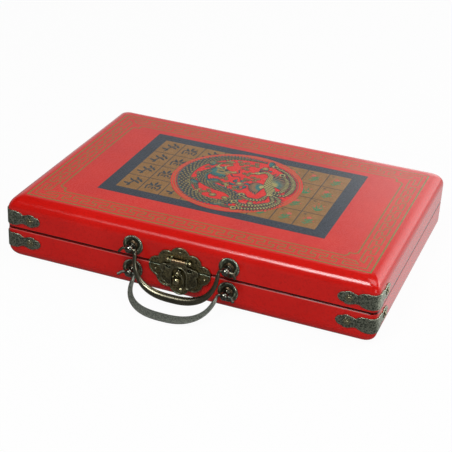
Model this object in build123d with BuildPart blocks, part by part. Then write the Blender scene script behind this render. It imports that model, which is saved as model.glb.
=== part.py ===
"""A flat, hinged carrying case for a set of mahjong tiles, in millimetres.

Two shallow wooden trays are covered in thin leather and hinged along the back.  The front carries a
lobed latch with a swinging hasp and a turn hook, and two half-round bail handles, one on each tray.
The two front edges of each tray wear wrap-round corner brackets held by flower-headed nails.

The origin is the centre of the underside, +Z is up and the front, with the latch, faces -Y.
"""
import os
from math import asin, cos, degrees, pi, radians, sin

from build123d import *

os.makedirs("parts", exist_ok=True)

# ---- the two trays ---------------------------------------------------------------------------------
case_width = 340.0
case_depth = 232.6
base_height = 30.3
lid_height = 28.4
seam_gap = 0.6
crown_radius = 11.5            # rounding of the lid's top edges and of the base's bottom edges
corner_radius = 6.2            # rounding of the vertical edges
rim_radius = 0.9               # rounding of the leather where it turns over the rim
crown_steps = 8

leather_thickness = 0.8
glue_gap = 0.05
board_thickness = 12.0
panel_thickness = 6.0
joint_gap = 0.05               # between two glued wooden pieces
lining_thickness = 0.6
lining_reveal = 1.0            # the lining stops this far below the rim
underside_inset = 2.0          # the bottom sheet stops this far inside the flat of the underside

# ---- corner brackets -------------------------------------------------------------------------------
bracket_thickness = 0.9
bracket_reach = 34.0           # from the case's corner to the bracket's tip
bracket_corner_half = 6.9      # half height where it wraps the corner
bracket_neck_half = 4.1
bracket_neck_at = 17.5
bracket_bulb_half = 5.9
bracket_nail_at = 24.0
bracket_notch_at = 28.6
bracket_notch_half = 4.4
bracket_lobe_half = 3.8        # half height of the pointed lobe beyond the notch
bracket_drop_lid = 17.9        # from the lid's top to the bracket's middle
bracket_rise_base = 19.3       # from the underside to the bracket's middle

nail_petal_count = 6
nail_petal_radius = 1.15
nail_petal_ring = 2.25
nail_eye_radius = 1.2
nail_head_height = 0.7
nail_shank_radius = 0.7
nail_shank_length = 8.0
round_head_taper = 30.0        # degrees by which a small round head's side slopes
drive_clearance = 0.03         # round a nail, screw or post driven into wood

# ---- bail handles ----------------------------------------------------------------------------------
hardware_x = -2.1              # the latch and the handles are centred on this line
bail_post_spacing = 88.0
bail_post_lid_drop = 17.2      # from the lid's top to the lid's posts
bail_post_base_rise = 19.0
bail_axis_stand_off = 8.0      # from the front face to the bails' pivot line
rosette_radius = 9.3
rosette_edge_height = 1.0
rosette_boss_radius = 4.6
rosette_boss_height = 2.4
rosette_dome_at = 3.2          # the boss's rounded side passes this far out from its middle
rosette_dome_height = 1.9
rosette_serrations = 40
rosette_groove_radius = 0.42
post_neck_radius = 2.2
post_collar_radius = 3.5
post_collar_height = 0.85
post_ball_radius = 3.8
post_shank_radius = 1.8
post_shank_length = 9.0
bail_pin_radius = 1.3
bail_pin_clearance = 0.05
bail_half_width = 38.0
bail_drop = 33.6
bail_squareness = 2.6          # exponent of the superellipse that the bail follows
bail_elbow_drop = 2.8          # the half-round bar starts this far below the pivot line
bail_elbow_bend = 2.0          # where the bar's end bends out through its post
bail_elbow_half = 1.5          # the bar is round here, and flat-backed further on
bail_flat_from = 9.0
bail_flat_crown = 0.04         # the flat face is very slightly crowned
bail_arm_half = 1.9            # half width of the half-round section at the arm
bail_grip_half = 3.8           # and at the grip
bail_swell = 3                 # power of the height by which the bar swells towards the grip
bail_stations = 13
bail_tail_overhang = 1.2
bail_tail_bend = 2.2
bail_tail_length = 4.2
bail_tail_angle = 52.0
lid_bail_lean = 15.0           # degrees from hanging straight down
floor_clearance = 0.1

# ---- latch -----------------------------------------------------------------------------------------
# The two plates' outline: points across from the latch's middle and up from the seam.
plate_half_width = 28.3
plate_tip_half = 0.9           # half height of the side lobes' flat at the seam
lid_plate_notches = ((19.7, 7.0), (8.4, 14.4))
lid_plate_lobes = ((25.9, 5.2), (15.6, 13.9))
lid_plate_top = 19.8
base_plate_notches = ((21.2, -11.2), (8.7, -19.2))
base_plate_lobes = ((26.9, -6.8), (17.0, -18.2))
base_plate_tip = -25.2
plate_thickness = 1.0
plate_rim_width = 1.1
plate_rim_height = 0.6
plate_seat_gap = 0.02
plate_seam_setback = 0.3
hasp_hinge_drop = 20.9         # from the lid's top down to the hasp's hinge line
hasp_hinge_stand_off = 3.6
hasp_barrel_half = 6.2
hasp_barrel_radius = 1.7
hasp_pin_radius = 0.8
hasp_pin_clearance = 0.05
hasp_pin_ball_radius = 1.95
lug_thickness = 1.5
lug_half_height = 2.0
lug_gap = 0.3
hasp_back = 2.0                # the hasp's back face, from the front face of the case
hasp_thickness = 0.8
hasp_rim_width = 0.8
hasp_rim_height = 0.4
# The hasp's outline: points across from its middle and down from its hinge line.
hasp_neck_drop = 2.6
hasp_shoulder = (12.0, 5.4)
hasp_upper_wing = (17.6, 8.8)
hasp_pinch = (15.3, 12.9)
hasp_lower_wing = (17.0, 17.6)
hasp_foot = (12.2, 22.8)
hasp_wing_drop = 25.0          # the wings' lowest edge
hasp_toe_drop = 24.2           # where that edge meets the slot
hasp_slot_half = 6.7
hasp_slot_top_drop = 6.4       # from the hinge line to the top of the slot
hasp_eye_half = 2.6
hasp_eye_height = 1.6
hasp_eye_at = 9.9
hasp_eye_drop = 7.2

hook_pivot_rise = 28.0         # heights from the underside
hook_back = 3.8
hook_thickness = 1.3
hook_half_width = 0.85
hook_bow = 4.9                 # the hook's bow stands this far right of its pivot
hook_tip_offset = 2.7
hook_tip_rise = 12.6
hook_eye_radius = 2.1
hook_rivet_radius = 1.0
hook_rivet_clearance = 0.05
hook_rivet_ball_radius = 2.2
hook_ball_radius = 2.2
axial_gap = 0.1                # between a turning piece and the head that keeps it on
staple_rise = 21.2
staple_offset = -0.5
staple_ball_radius = 3.2
staple_ball_stand_off = 6.2
staple_neck_radius = 1.7
staple_collar_radius = 2.9
staple_collar_height = 1.2
stud_offset = -4.6
stud_rise = 22.7
stud_ball_radius = 1.3
stud_stand_off = 3.6
latch_shank_radius = 1.1
latch_shank_length = 7.0
latch_nail_head_radius = 1.5
latch_nail_head_height = 0.8
latch_nail_drop = 14.0         # from the lid's top to the nail in the lid plate's top lobe
latch_nail_spread = 22.6       # from the middle to the nails in the base plate's side lobes
latch_nail_rise = 25.0

# ---- back hinges -----------------------------------------------------------------------------------
hinge_spacing = 200.0
hinge_width = 36.0
hinge_leaf_height = 15.0
hinge_leaf_thickness = 0.8
hinge_stand_off = 3.6          # from the back face to the pin
hinge_knuckle_radius = 2.3
hinge_pin_radius = 1.2
hinge_pin_clearance = 0.05
hinge_knuckle_gap = 0.3
hinge_pin_head_radius = 2.0
hinge_pin_head_height = 0.8
hinge_leaf_gap = 0.4           # between each leaf and the plane of the pin
hinge_screw_spacing = 24.0
hinge_screw_drop = 9.5         # from the pin to the line of screws
hinge_screw_head_radius = 2.0
hinge_screw_head_height = 0.9
hinge_screw_radius = 1.0
hinge_screw_length = 8.0

# ---- what follows from them ------------------------------------------------------------------------
front_y = -case_depth / 2
back_y = case_depth / 2
side_x = case_width / 2
lid_rim_z = base_height + seam_gap
lid_top_z = lid_rim_z + lid_height
seam_z = base_height + seam_gap / 2
wood_width = case_width - 2 * (leather_thickness + glue_gap)
wood_depth = case_depth - 2 * (leather_thickness + glue_gap)
wood_crown = crown_radius - leather_thickness - glue_gap
wood_corner = corner_radius - leather_thickness - glue_gap
cavity_width = wood_width - 2 * board_thickness
cavity_depth = wood_depth - 2 * board_thickness
cover = leather_thickness + glue_gap

lid_bracket_z = lid_top_z - bracket_drop_lid
base_bracket_z = bracket_rise_base
lid_post_z = lid_top_z - bail_post_lid_drop
base_post_z = bail_post_base_rise
bail_axis_y = front_y - bail_axis_stand_off
base_bail_lean = 90.0 - degrees(asin((base_post_z - bail_grip_half - floor_clearance) / bail_drop))
hasp_hinge_z = lid_top_z - hasp_hinge_drop
hasp_hinge_y = front_y - hasp_hinge_stand_off
hinge_axis_y = back_y + hinge_stand_off


# ---- shapes that several pieces share --------------------------------------------------------------
def crowned_block(width, depth, height, crown, corner, rim=0.0):
    """A block with its rim at z = 0, its top edges rounded by crown and its plan corners by corner."""
    wall = height - crown
    with BuildPart() as block:
        with BuildSketch(Plane.XY):
            RectangleRounded(width, depth, corner)
        extrude(amount=wall)
        if rim > 0:
            fillet(block.faces().sort_by(Axis.Z)[0].edges(), radius=rim)
        for step in range(crown_steps + 1):
            angle = pi / 2 * step / crown_steps
            inset = crown * (1 - cos(angle))
            with BuildSketch(Plane.XY.offset(wall + crown * sin(angle))):
                RectangleRounded(width - 2 * inset, depth - 2 * inset, corner)
        loft()
    return block.part


def lid_block(block):
    """The block with its rim on the lid's rim plane and its crown up."""
    return block.moved(Location((0, 0, lid_rim_z)))


def base_block(block):
    """The block turned over, with its rim on the base's rim plane and its crown down."""
    return block.moved(Location((0, 0, base_height), (180, 0, 0)))


def front_plane(stand_off, x=0.0, z=0.0):
    """A plane parallel to the front face, that far out from it: local x is +X, local y is +Z."""
    return Plane(origin=(x, front_y - stand_off, z), x_dir=(1, 0, 0), z_dir=(0, -1, 0))


def back_plane(stand_off, x=0.0, z=0.0):
    """A plane parallel to the back face: local x is -X, local y is +Z."""
    return Plane(origin=(x, back_y + stand_off, z), x_dir=(-1, 0, 0), z_dir=(0, 1, 0))


def side_plane(side, stand_off, y=0.0, z=0.0):
    """A plane parallel to the right (side = 1) or left (side = -1) end: local y is +Z."""
    return Plane(origin=(side * (side_x + stand_off), y, z), x_dir=(0, side, 0), z_dir=(side, 0, 0))


def bracket_nail_planes(z):
    """Where the four bracket nails of one tray stand, on the outer faces of its brackets."""
    planes = []
    for side in (-1, 1):
        planes.append(front_plane(bracket_thickness, side * (side_x - bracket_nail_at), z))
        planes.append(side_plane(side, bracket_thickness, front_y + bracket_nail_at, z))
    return planes


def drill(planes, radius, depth):
    """Round holes into the part under construction, from each plane inwards."""
    with Locations(*planes):
        Cylinder(radius, depth, align=(Align.CENTER, Align.CENTER, Align.MAX), mode=Mode.SUBTRACT)


def post_planes(z):
    """Where one tray's two handle posts stand on its front face."""
    return [front_plane(0.0, hardware_x + side * bail_post_spacing / 2, z) for side in (-1, 1)]


def hinge_screw_planes(direction):
    """Where the screws of the lid's leaves (direction = 1) or of the base's leaves (-1) stand."""
    z = seam_z + direction * hinge_screw_drop
    planes = []
    for side in (-1, 1):
        for end in (-1, 1):
            x = side * hinge_spacing / 2 + end * hinge_screw_spacing / 2
            planes.append(back_plane(hinge_leaf_thickness + plate_seat_gap, x, z))
    return planes


lid_latch_nail_planes = [front_plane(plate_thickness, hardware_x, lid_top_z - latch_nail_drop)]
base_latch_nail_planes = [
    front_plane(plate_thickness, hardware_x + side * latch_nail_spread, latch_nail_rise) for side in (-1, 1)
]
hook_rivet_plane = front_plane(plate_thickness, hardware_x, hook_pivot_rise)
staple_plane = front_plane(plate_thickness, hardware_x + staple_offset, staple_rise)
stud_plane = front_plane(plate_thickness, hardware_x + stud_offset, stud_rise)
turned_post_planes = [hook_rivet_plane, staple_plane, stud_plane]


def drill_lid_fixings():
    """The holes that the lid's nails, posts and screws make in its leather and boards."""
    drill(bracket_nail_planes(lid_bracket_z), nail_shank_radius + drive_clearance, nail_shank_length)
    drill(post_planes(lid_post_z), post_shank_radius + drive_clearance, post_shank_length)
    drill(hinge_screw_planes(1), hinge_screw_radius + drive_clearance, hinge_screw_length)
    drill(lid_latch_nail_planes, nail_shank_radius + drive_clearance, latch_shank_length)


def drill_base_fixings():
    """The holes that the base's nails, posts and screws make in its leather and boards."""
    drill(bracket_nail_planes(base_bracket_z), nail_shank_radius + drive_clearance, nail_shank_length)
    drill(post_planes(base_post_z), post_shank_radius + drive_clearance, post_shank_length)
    drill(hinge_screw_planes(-1), hinge_screw_radius + drive_clearance, hinge_screw_length)
    drill(base_latch_nail_planes, nail_shank_radius + drive_clearance, latch_shank_length)
    drill(turned_post_planes, latch_shank_radius + drive_clearance, latch_shank_length)


def finish(piece, name):
    """Label one finished piece and write it out."""
    piece.part.label = name
    export_step(piece.part, f"parts/{name}.step")


# ---- wooden trays ----------------------------------------------------------------------------------
def board_outline(side):
    """The mitred plan outline of the board on one side: front, back, left or right."""
    outer_x, outer_y = wood_width / 2, wood_depth / 2
    inner_x, inner_y = cavity_width / 2, cavity_depth / 2
    gap = joint_gap / 2
    if side in ("front", "back"):
        sign = -1 if side == "front" else 1
        return [
            (-outer_x + gap, sign * outer_y),
            (outer_x - gap, sign * outer_y),
            (inner_x - gap, sign * inner_y),
            (-inner_x + gap, sign * inner_y),
        ]
    sign = -1 if side == "left" else 1
    return [
        (sign * outer_x, -outer_y + gap),
        (sign * outer_x, outer_y - gap),
        (sign * inner_x, inner_y - gap),
        (sign * inner_x, -inner_y + gap),
    ]


def make_tray(tray, block, height, low_z, drill_fixings):
    """The four mitred boards and the panel of one tray, all cut from the same rounded block."""
    for side in ("front", "back", "left", "right"):
        with BuildPart() as board:
            with BuildSketch(Plane.XY.offset(low_z)):
                Polygon(*board_outline(side), align=None)
            extrude(amount=height)
            add(block, mode=Mode.INTERSECT)
            drill_fixings()
        finish(board, f"{tray}_board_{side}")
    with BuildPart() as panel:
        add(block)
        with BuildSketch(Plane.XY.offset(low_z)):
            Rectangle(cavity_width - 2 * joint_gap, cavity_depth - 2 * joint_gap)
        extrude(amount=height, mode=Mode.INTERSECT)
        with BuildSketch(Plane.XY.offset(seam_z)):
            Rectangle(case_width, case_depth)
        extrude(amount=seam_gap / 2 + height - cover - panel_thickness, both=True, mode=Mode.SUBTRACT)
    finish(panel, f"{tray}_panel")


def wood_block(height):
    """The rounded block, before it is placed, that one tray's boards and panel are cut from."""
    return crowned_block(wood_width, wood_depth, height - 2 * cover, wood_crown, wood_corner)


lid_wood = lid_block(wood_block(lid_height)).moved(Location((0, 0, cover)))
base_wood = base_block(wood_block(base_height)).moved(Location((0, 0, -cover)))
make_tray("lid", lid_wood, lid_height, lid_rim_z, drill_lid_fixings)
make_tray("base", base_wood, base_height, 0.0, drill_base_fixings)

# ---- leather covers --------------------------------------------------------------------------------
def outer_block(height):
    """The outside of one tray's leather, before it is placed."""
    return crowned_block(case_width, case_depth, height, crown_radius, corner_radius, rim_radius)


def inner_block(height):
    """The hollow in one tray's leather, with its rim at z = 0."""
    return crowned_block(
        wood_width + 2 * glue_gap,
        wood_depth + 2 * glue_gap,
        height - 2 * leather_thickness,
        wood_crown + glue_gap,
        wood_corner + glue_gap,
    )


with BuildPart() as lid_leather:
    add(lid_block(outer_block(lid_height)))
    add(lid_block(inner_block(lid_height)).moved(Location((0, 0, leather_thickness))), mode=Mode.SUBTRACT)
    with BuildSketch(Plane.XY.offset(lid_rim_z)):
        Rectangle(cavity_width, cavity_depth)
    extrude(amount=leather_thickness, mode=Mode.SUBTRACT)
    drill_lid_fixings()
finish(lid_leather, "lid_leather")

sheet_width = case_width - 2 * crown_radius - 2 * underside_inset
sheet_depth = case_depth - 2 * crown_radius - 2 * underside_inset

with BuildPart() as base_leather:
    add(base_block(outer_block(base_height)))
    add(base_block(inner_block(base_height)).moved(Location((0, 0, -leather_thickness))), mode=Mode.SUBTRACT)
    with BuildSketch(Plane.XY.offset(base_height - leather_thickness)):
        Rectangle(cavity_width, cavity_depth)
    extrude(amount=leather_thickness, mode=Mode.SUBTRACT)
    with BuildSketch(Plane.XY):
        Rectangle(sheet_width + 2 * glue_gap, sheet_depth + 2 * glue_gap)
    extrude(amount=leather_thickness + glue_gap, mode=Mode.SUBTRACT)
    drill_base_fixings()
finish(base_leather, "base_leather")

with BuildPart() as base_underside_sheet:
    with BuildSketch(Plane.XY):
        Rectangle(sheet_width, sheet_depth)
    extrude(amount=leather_thickness)
finish(base_underside_sheet, "base_underside_sheet")


# ---- linings ---------------------------------------------------------------------------------------
def make_lining(tray, floor_z, rim_z):
    """A thin fabric tray between the panel's inner face and the rim, opening towards the rim."""
    up = 1 if rim_z > floor_z else -1
    depth = abs(rim_z - floor_z) - lining_reveal
    with BuildPart() as lining:
        with BuildSketch(Plane.XY.offset(floor_z + up * glue_gap)):
            Rectangle(cavity_width - 2 * glue_gap, cavity_depth - 2 * glue_gap)
        extrude(amount=up * depth)
        with BuildSketch(Plane.XY.offset(floor_z + up * (glue_gap + lining_thickness))):
            Rectangle(
                cavity_width - 2 * (glue_gap + lining_thickness),
                cavity_depth - 2 * (glue_gap + lining_thickness),
            )
        extrude(amount=up * depth, mode=Mode.SUBTRACT)
    finish(lining, f"{tray}_lining")


make_lining("base", cover + panel_thickness, base_height)
make_lining("lid", lid_top_z - cover - panel_thickness, lid_rim_z)


# ---- corner brackets -------------------------------------------------------------------------------
def bracket_silhouette(plane):
    """The leaf outline of one arm on that plane: the case's corner at local x = 0, the tip at +x."""
    low = [
        (bracket_notch_at, -bracket_notch_half),
        (bracket_nail_at, -bracket_bulb_half),
        (bracket_neck_at, -bracket_neck_half),
        (corner_radius + bracket_thickness, -bracket_corner_half),
    ]
    high = [(x, -y) for x, y in reversed(low)]
    lobe_x = (bracket_notch_at + bracket_reach) / 2
    beyond = 2 * bracket_thickness
    with BuildSketch(plane) as silhouette:
        with BuildLine():
            Line((-beyond, -bracket_corner_half), low[3])
            Spline(low[3], low[2], low[1], low[0], tangents=((1, 0), (1, 1)))
            ThreePointArc(low[0], (lobe_x, -bracket_lobe_half), (bracket_reach, 0))
            ThreePointArc((bracket_reach, 0), (lobe_x, bracket_lobe_half), high[3])
            Spline(high[3], high[2], high[1], high[0], tangents=((-1, 1), (-1, 0)))
            Line(high[0], (-beyond, bracket_corner_half))
            Line((-beyond, bracket_corner_half), (-beyond, -bracket_corner_half))
        make_face()
    return silhouette.sketch


def corner_bracket(side, z):
    """One strap wrapped round the front vertical edge at that side, -1 left and 1 right."""
    corner_x = side * side_x
    wrap = corner_radius + bracket_thickness
    reach_out = side * (wrap + 2 * bracket_thickness)
    across = Plane(origin=(corner_x, front_y + wrap, z), x_dir=(-side, 0, 0), z_dir=(0, side, 0))
    along = Plane(origin=(corner_x - side * wrap, front_y, z), x_dir=(0, 1, 0), z_dir=(1, 0, 0))
    with BuildPart() as mask:
        extrude(bracket_silhouette(across), amount=-reach_out)
        extrude(bracket_silhouette(along), amount=reach_out)
    with BuildPart() as bracket:
        with BuildSketch(Plane.XY.offset(z - 2 * bracket_corner_half)):
            RectangleRounded(case_width + 2 * bracket_thickness, case_depth + 2 * bracket_thickness, wrap)
            RectangleRounded(
                case_width + 2 * plate_seat_gap,
                case_depth + 2 * plate_seat_gap,
                corner_radius + plate_seat_gap,
                mode=Mode.SUBTRACT,
            )
        extrude(amount=4 * bracket_corner_half)
        add(mask.part, mode=Mode.INTERSECT)
        drill(bracket_nail_planes(z), nail_shank_radius + drive_clearance, nail_shank_length)
    return bracket


def bracket_nails(z):
    """The four flower-headed nails of one tray: petals round an eye, and a shank into the board."""
    with BuildPart() as nails:
        for plane in bracket_nail_planes(z):
            with BuildSketch(plane.offset(plate_seat_gap)):
                Circle(nail_petal_ring)
            extrude(amount=nail_head_height / 2)
            with Locations(plane.offset(plate_seat_gap)):
                with PolarLocations(nail_petal_ring, nail_petal_count):
                    Cylinder(
                        nail_petal_radius,
                        nail_head_height,
                        align=(Align.CENTER, Align.CENTER, Align.MIN),
                    )
                Cylinder(
                    nail_eye_radius,
                    2 * nail_head_height,
                    align=(Align.CENTER, Align.CENTER, Align.MIN),
                )
            with BuildSketch(plane.offset(nail_head_height / 2)):
                Circle(nail_shank_radius)
            extrude(amount=-(nail_shank_length + nail_head_height / 2 - drive_clearance))
    return nails


for tray, bracket_z in (("lid", lid_bracket_z), ("base", base_bracket_z)):
    for side, side_name in ((-1, "left"), (1, "right")):
        finish(corner_bracket(side, bracket_z), f"{tray}_bracket_front_{side_name}")
    finish(bracket_nails(bracket_z), f"{tray}_bracket_nails")


# ---- handle rosettes and posts ---------------------------------------------------------------------
def rosette(plane):
    """A round backing plate with a domed boss and a serrated, coin-like rim."""
    rim_mid = (rosette_boss_radius + rosette_radius) / 2 + rosette_groove_radius
    with BuildPart() as plate:
        with BuildSketch(Plane.XZ):
            with BuildLine():
                Polyline(
                    (0, rosette_boss_height),
                    (0, plate_seat_gap),
                    (rosette_radius, plate_seat_gap),
                    (rosette_radius, rosette_edge_height),
                )
                ThreePointArc(
                    (rosette_radius, rosette_edge_height),
                    (rim_mid, rosette_edge_height + 2 * rosette_groove_radius),
                    (rosette_boss_radius + rosette_groove_radius, rosette_edge_height),
                )
                Line(
                    (rosette_boss_radius + rosette_groove_radius, rosette_edge_height),
                    (rosette_boss_radius, rosette_edge_height),
                )
                ThreePointArc(
                    (rosette_boss_radius, rosette_edge_height),
                    (rosette_dome_at, rosette_dome_height),
                    (0, rosette_boss_height),
                )
            make_face()
        revolve(axis=Axis.Z)
        ring = Plane.XY.offset(rosette_edge_height + 2 * rosette_groove_radius)
        with Locations(ring):
            with PolarLocations(rim_mid, rosette_serrations):
                Cylinder(
                    rosette_groove_radius,
                    rosette_radius - rosette_boss_radius,
                    rotation=(0, 90, 0),
                    mode=Mode.SUBTRACT,
                )
        with BuildSketch(Plane.XY):
            Circle(post_shank_radius + drive_clearance)
        extrude(amount=2 * rosette_boss_height, mode=Mode.SUBTRACT)
    return plate.part.moved(plane.location)


def post(plane):
    """A ball-headed post with a cross hole for the bail, and a shank into the front board."""
    with BuildPart() as ball_post:
        with BuildSketch(Plane.XY.offset(bail_axis_stand_off)):
            Circle(post_shank_radius)
        extrude(amount=-(bail_axis_stand_off + post_shank_length - drive_clearance))
        with BuildSketch(Plane.XY.offset(rosette_boss_height + plate_seat_gap)):
            Circle(post_collar_radius)
        extrude(amount=post_collar_height)
        with BuildSketch(Plane.XY.offset(rosette_boss_height + plate_seat_gap)):
            Circle(post_neck_radius)
        extrude(amount=bail_axis_stand_off - rosette_boss_height)
        with Locations((0, 0, bail_axis_stand_off)):
            Sphere(post_ball_radius)
            Cylinder(
                bail_pin_radius + bail_pin_clearance,
                3 * post_ball_radius,
                rotation=(0, 90, 0),
                mode=Mode.SUBTRACT,
            )
    return ball_post.part.moved(plane.location)


for tray, post_z in (("lid", lid_post_z), ("base", base_post_z)):
    for plane, side_name in zip(post_planes(post_z), ("left", "right")):
        with BuildPart() as backing:
            add(rosette(plane))
        finish(backing, f"{tray}_rosette_{side_name}")
        with BuildPart() as handle_post:
            add(post(plane))
        finish(handle_post, f"{tray}_post_{side_name}")


# ---- bail handles ----------------------------------------------------------------------------------
def bail_point(turn):
    """A point of the bail's superellipse, across and down from the pivot line, at turn from 0 to pi."""
    power = 2 / bail_squareness
    across = bail_half_width * abs(cos(turn)) ** power * (1 if cos(turn) >= 0 else -1)
    down = bail_drop * abs(sin(turn)) ** power
    return across, down


def make_bail(name, pivot_z, lean, round_side):
    """One bail of half-round section; its round face looks outwards if round_side is 1, inwards if -1."""
    down = Vector(0, -sin(radians(lean)), -cos(radians(lean)))
    outward = Vector(0, -cos(radians(lean)), sin(radians(lean))) * round_side
    pivot = Vector(hardware_x, bail_axis_y, pivot_z)
    sideways = Vector(1, 0, 0)
    first_turn = asin((bail_elbow_drop / bail_drop) ** (bail_squareness / 2))
    small_turn = first_turn / 2
    bend_start = bail_post_spacing / 2 + post_ball_radius + bail_tail_overhang
    with BuildPart() as bail:
        for station in range(bail_stations):
            turn = first_turn + (pi - 2 * first_turn) * station / (bail_stations - 1)
            across, drop = bail_point(turn)
            before = bail_point(turn - small_turn)
            after = bail_point(turn + small_turn)
            along = sideways * (after[0] - before[0]) + down * (after[1] - before[1])
            round_end = max(0.0, 1 - (drop - bail_elbow_drop) / bail_flat_from)
            half = bail_arm_half + (bail_grip_half - bail_arm_half) * (drop / bail_drop) ** bail_swell
            half = half - (bail_arm_half - bail_elbow_half) * round_end
            back = bail_flat_crown + (bail_elbow_half - bail_flat_crown) * round_end
            centre = pivot + sideways * across + down * drop
            with BuildSketch(Plane(origin=centre, x_dir=outward, z_dir=along)):
                with BuildLine():
                    ThreePointArc((0, -half), (-back, 0), (0, half))
                    ThreePointArc((0, half), (half, 0), (0, -half))
                make_face()
        loft()
        for side in (-1, 1):
            plane = Plane(origin=pivot, x_dir=(side, 0, 0), z_dir=Vector(side, 0, 0).cross(down))
            with BuildLine(plane):
                rise_start = (bail_half_width, bail_elbow_drop + bail_pin_radius)
                rise = Line(rise_start, (bail_half_width, bail_elbow_bend))
                elbow = JernArc(start=rise @ 1, tangent=rise % 1, radius=bail_elbow_bend, arc_size=90)
                straight = Line(elbow @ 1, (bend_start, 0))
                bend = JernArc(
                    start=straight @ 1,
                    tangent=straight % 1,
                    radius=bail_tail_bend,
                    arc_size=bail_tail_angle,
                )
                tail = PolarLine(bend @ 1, bail_tail_length, direction=bend % 1)
            with BuildSketch(Plane(origin=rise @ 0, z_dir=rise % 0)):
                Circle(bail_pin_radius)
            sweep()
            tail_end = bail.edges().filter_by(GeomType.CIRCLE).sort_by_distance(tail @ 1)[0]
            fillet(tail_end, radius=bail_pin_radius / 2)
    finish(bail, name)


make_bail("lid_bail", lid_post_z, lid_bail_lean, 1)
make_bail("base_bail", base_post_z, base_bail_lean, -1)


# ---- latch -----------------------------------------------------------------------------------------

def escutcheon_outline(inset):
    """The cloud-shaped outline of both latch plates together, shrunk by inset."""
    with BuildSketch(Plane.XY) as outline:
        with BuildLine():
            for side in (-1, 1):
                edge_top = (side * plate_half_width, plate_tip_half)
                edge_low = (side * plate_half_width, -plate_tip_half)
                up = [(side * x, z) for x, z in lid_plate_notches]
                up_lobes = [(side * x, z) for x, z in lid_plate_lobes]
                low = [(side * x, z) for x, z in base_plate_notches]
                low_lobes = [(side * x, z) for x, z in base_plate_lobes]
                Line(edge_low, edge_top)
                ThreePointArc(edge_top, up_lobes[0], up[0])
                ThreePointArc(up[0], up_lobes[1], up[1])
                ThreePointArc(edge_low, low_lobes[0], low[0])
                ThreePointArc(low[0], low_lobes[1], low[1])
            for (x, z), middle in (
                (lid_plate_notches[1], lid_plate_top),
                (base_plate_notches[1], base_plate_tip),
            ):
                ThreePointArc((-x, z), (0, middle), (x, z))
        make_face()
        if inset > 0:
            offset(amount=-inset, mode=Mode.REPLACE)
    return outline.sketch


def latch_plate(direction):
    """The half of the outline above (direction = 1) or below (-1) the seam, with a raised rim."""
    seat = front_plane(plate_seat_gap, hardware_x, seam_z)
    pocket = front_plane(plate_thickness, hardware_x, seam_z)
    tall = 2 * plate_half_width
    cut_height = direction * (tall / 2 + seam_gap / 2 + plate_seam_setback)
    with BuildPart() as plate:
        with BuildSketch(seat):
            add(escutcheon_outline(0))
        extrude(amount=plate_thickness + plate_rim_height - plate_seat_gap)
        with BuildSketch(pocket):
            add(escutcheon_outline(plate_rim_width))
        extrude(amount=2 * plate_rim_height, mode=Mode.SUBTRACT)
        with BuildSketch(front_plane(-plate_thickness, hardware_x, seam_z)):
            with Locations((0, cut_height)):
                Rectangle(2 * tall, tall)
        extrude(amount=4 * plate_thickness, mode=Mode.INTERSECT)
    return plate.part


lug_x = hasp_barrel_half + lug_gap + lug_thickness / 2

with BuildPart() as lid_latch_plate:
    add(latch_plate(1))
    for side in (-1, 1):
        with BuildSketch(Plane.YZ.offset(hardware_x + side * lug_x)):
            with Locations((hasp_hinge_y, hasp_hinge_z)):
                Circle(lug_half_height)
                Rectangle(
                    hasp_hinge_stand_off - plate_thickness / 2,
                    2 * lug_half_height,
                    align=(Align.MIN, Align.CENTER),
                )
        extrude(amount=lug_thickness / 2, both=True)
    with BuildSketch(Plane.YZ.offset(hardware_x)):
        with Locations((hasp_hinge_y, hasp_hinge_z)):
            Circle(hasp_pin_radius + drive_clearance)
    extrude(amount=lug_x + lug_thickness, both=True, mode=Mode.SUBTRACT)
    drill(lid_latch_nail_planes, nail_shank_radius + drive_clearance, latch_shank_length)
finish(lid_latch_plate, "lid_latch_plate")

with BuildPart() as base_latch_plate:
    add(latch_plate(-1))
    drill(base_latch_nail_planes, nail_shank_radius + drive_clearance, latch_shank_length)
    drill(turned_post_planes, latch_shank_radius + drive_clearance, latch_shank_length)
finish(base_latch_plate, "base_latch_plate")


def latch_nails(planes):
    """Small round-headed nails that stand on the latch plate at those planes."""
    with BuildPart() as nails:
        for plane in planes:
            with BuildSketch(plane.offset(plate_seat_gap)):
                Circle(latch_nail_head_radius)
            extrude(amount=latch_nail_head_height, taper=round_head_taper)
            with BuildSketch(plane.offset(latch_nail_head_height / 2)):
                Circle(nail_shank_radius)
            extrude(amount=-(latch_shank_length + latch_nail_head_height / 2 - drive_clearance))
    return nails


finish(latch_nails(lid_latch_nail_planes), "lid_latch_nails")
finish(latch_nails(base_latch_nail_planes), "base_latch_nails")

pin_half = lug_x + lug_thickness / 2 + plate_seat_gap + hasp_pin_ball_radius
pin_end = pin_half + hasp_pin_ball_radius
ball_foot = pin_half - (hasp_pin_ball_radius**2 - hasp_pin_radius**2) ** 0.5

with BuildPart() as hasp_pin:
    with BuildSketch(front_plane(hasp_hinge_stand_off, hardware_x, hasp_hinge_z)):
        with BuildLine():
            Line((-pin_end, 0), (pin_end, 0))
            ThreePointArc((pin_end, 0), (pin_half, hasp_pin_ball_radius), (ball_foot, hasp_pin_radius))
            Line((ball_foot, hasp_pin_radius), (-ball_foot, hasp_pin_radius))
            ThreePointArc((-ball_foot, hasp_pin_radius), (-pin_half, hasp_pin_ball_radius), (-pin_end, 0))
        make_face()
    revolve(axis=Axis((hardware_x, hasp_hinge_y, hasp_hinge_z), (1, 0, 0)))
finish(hasp_pin, "hasp_pin")


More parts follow.
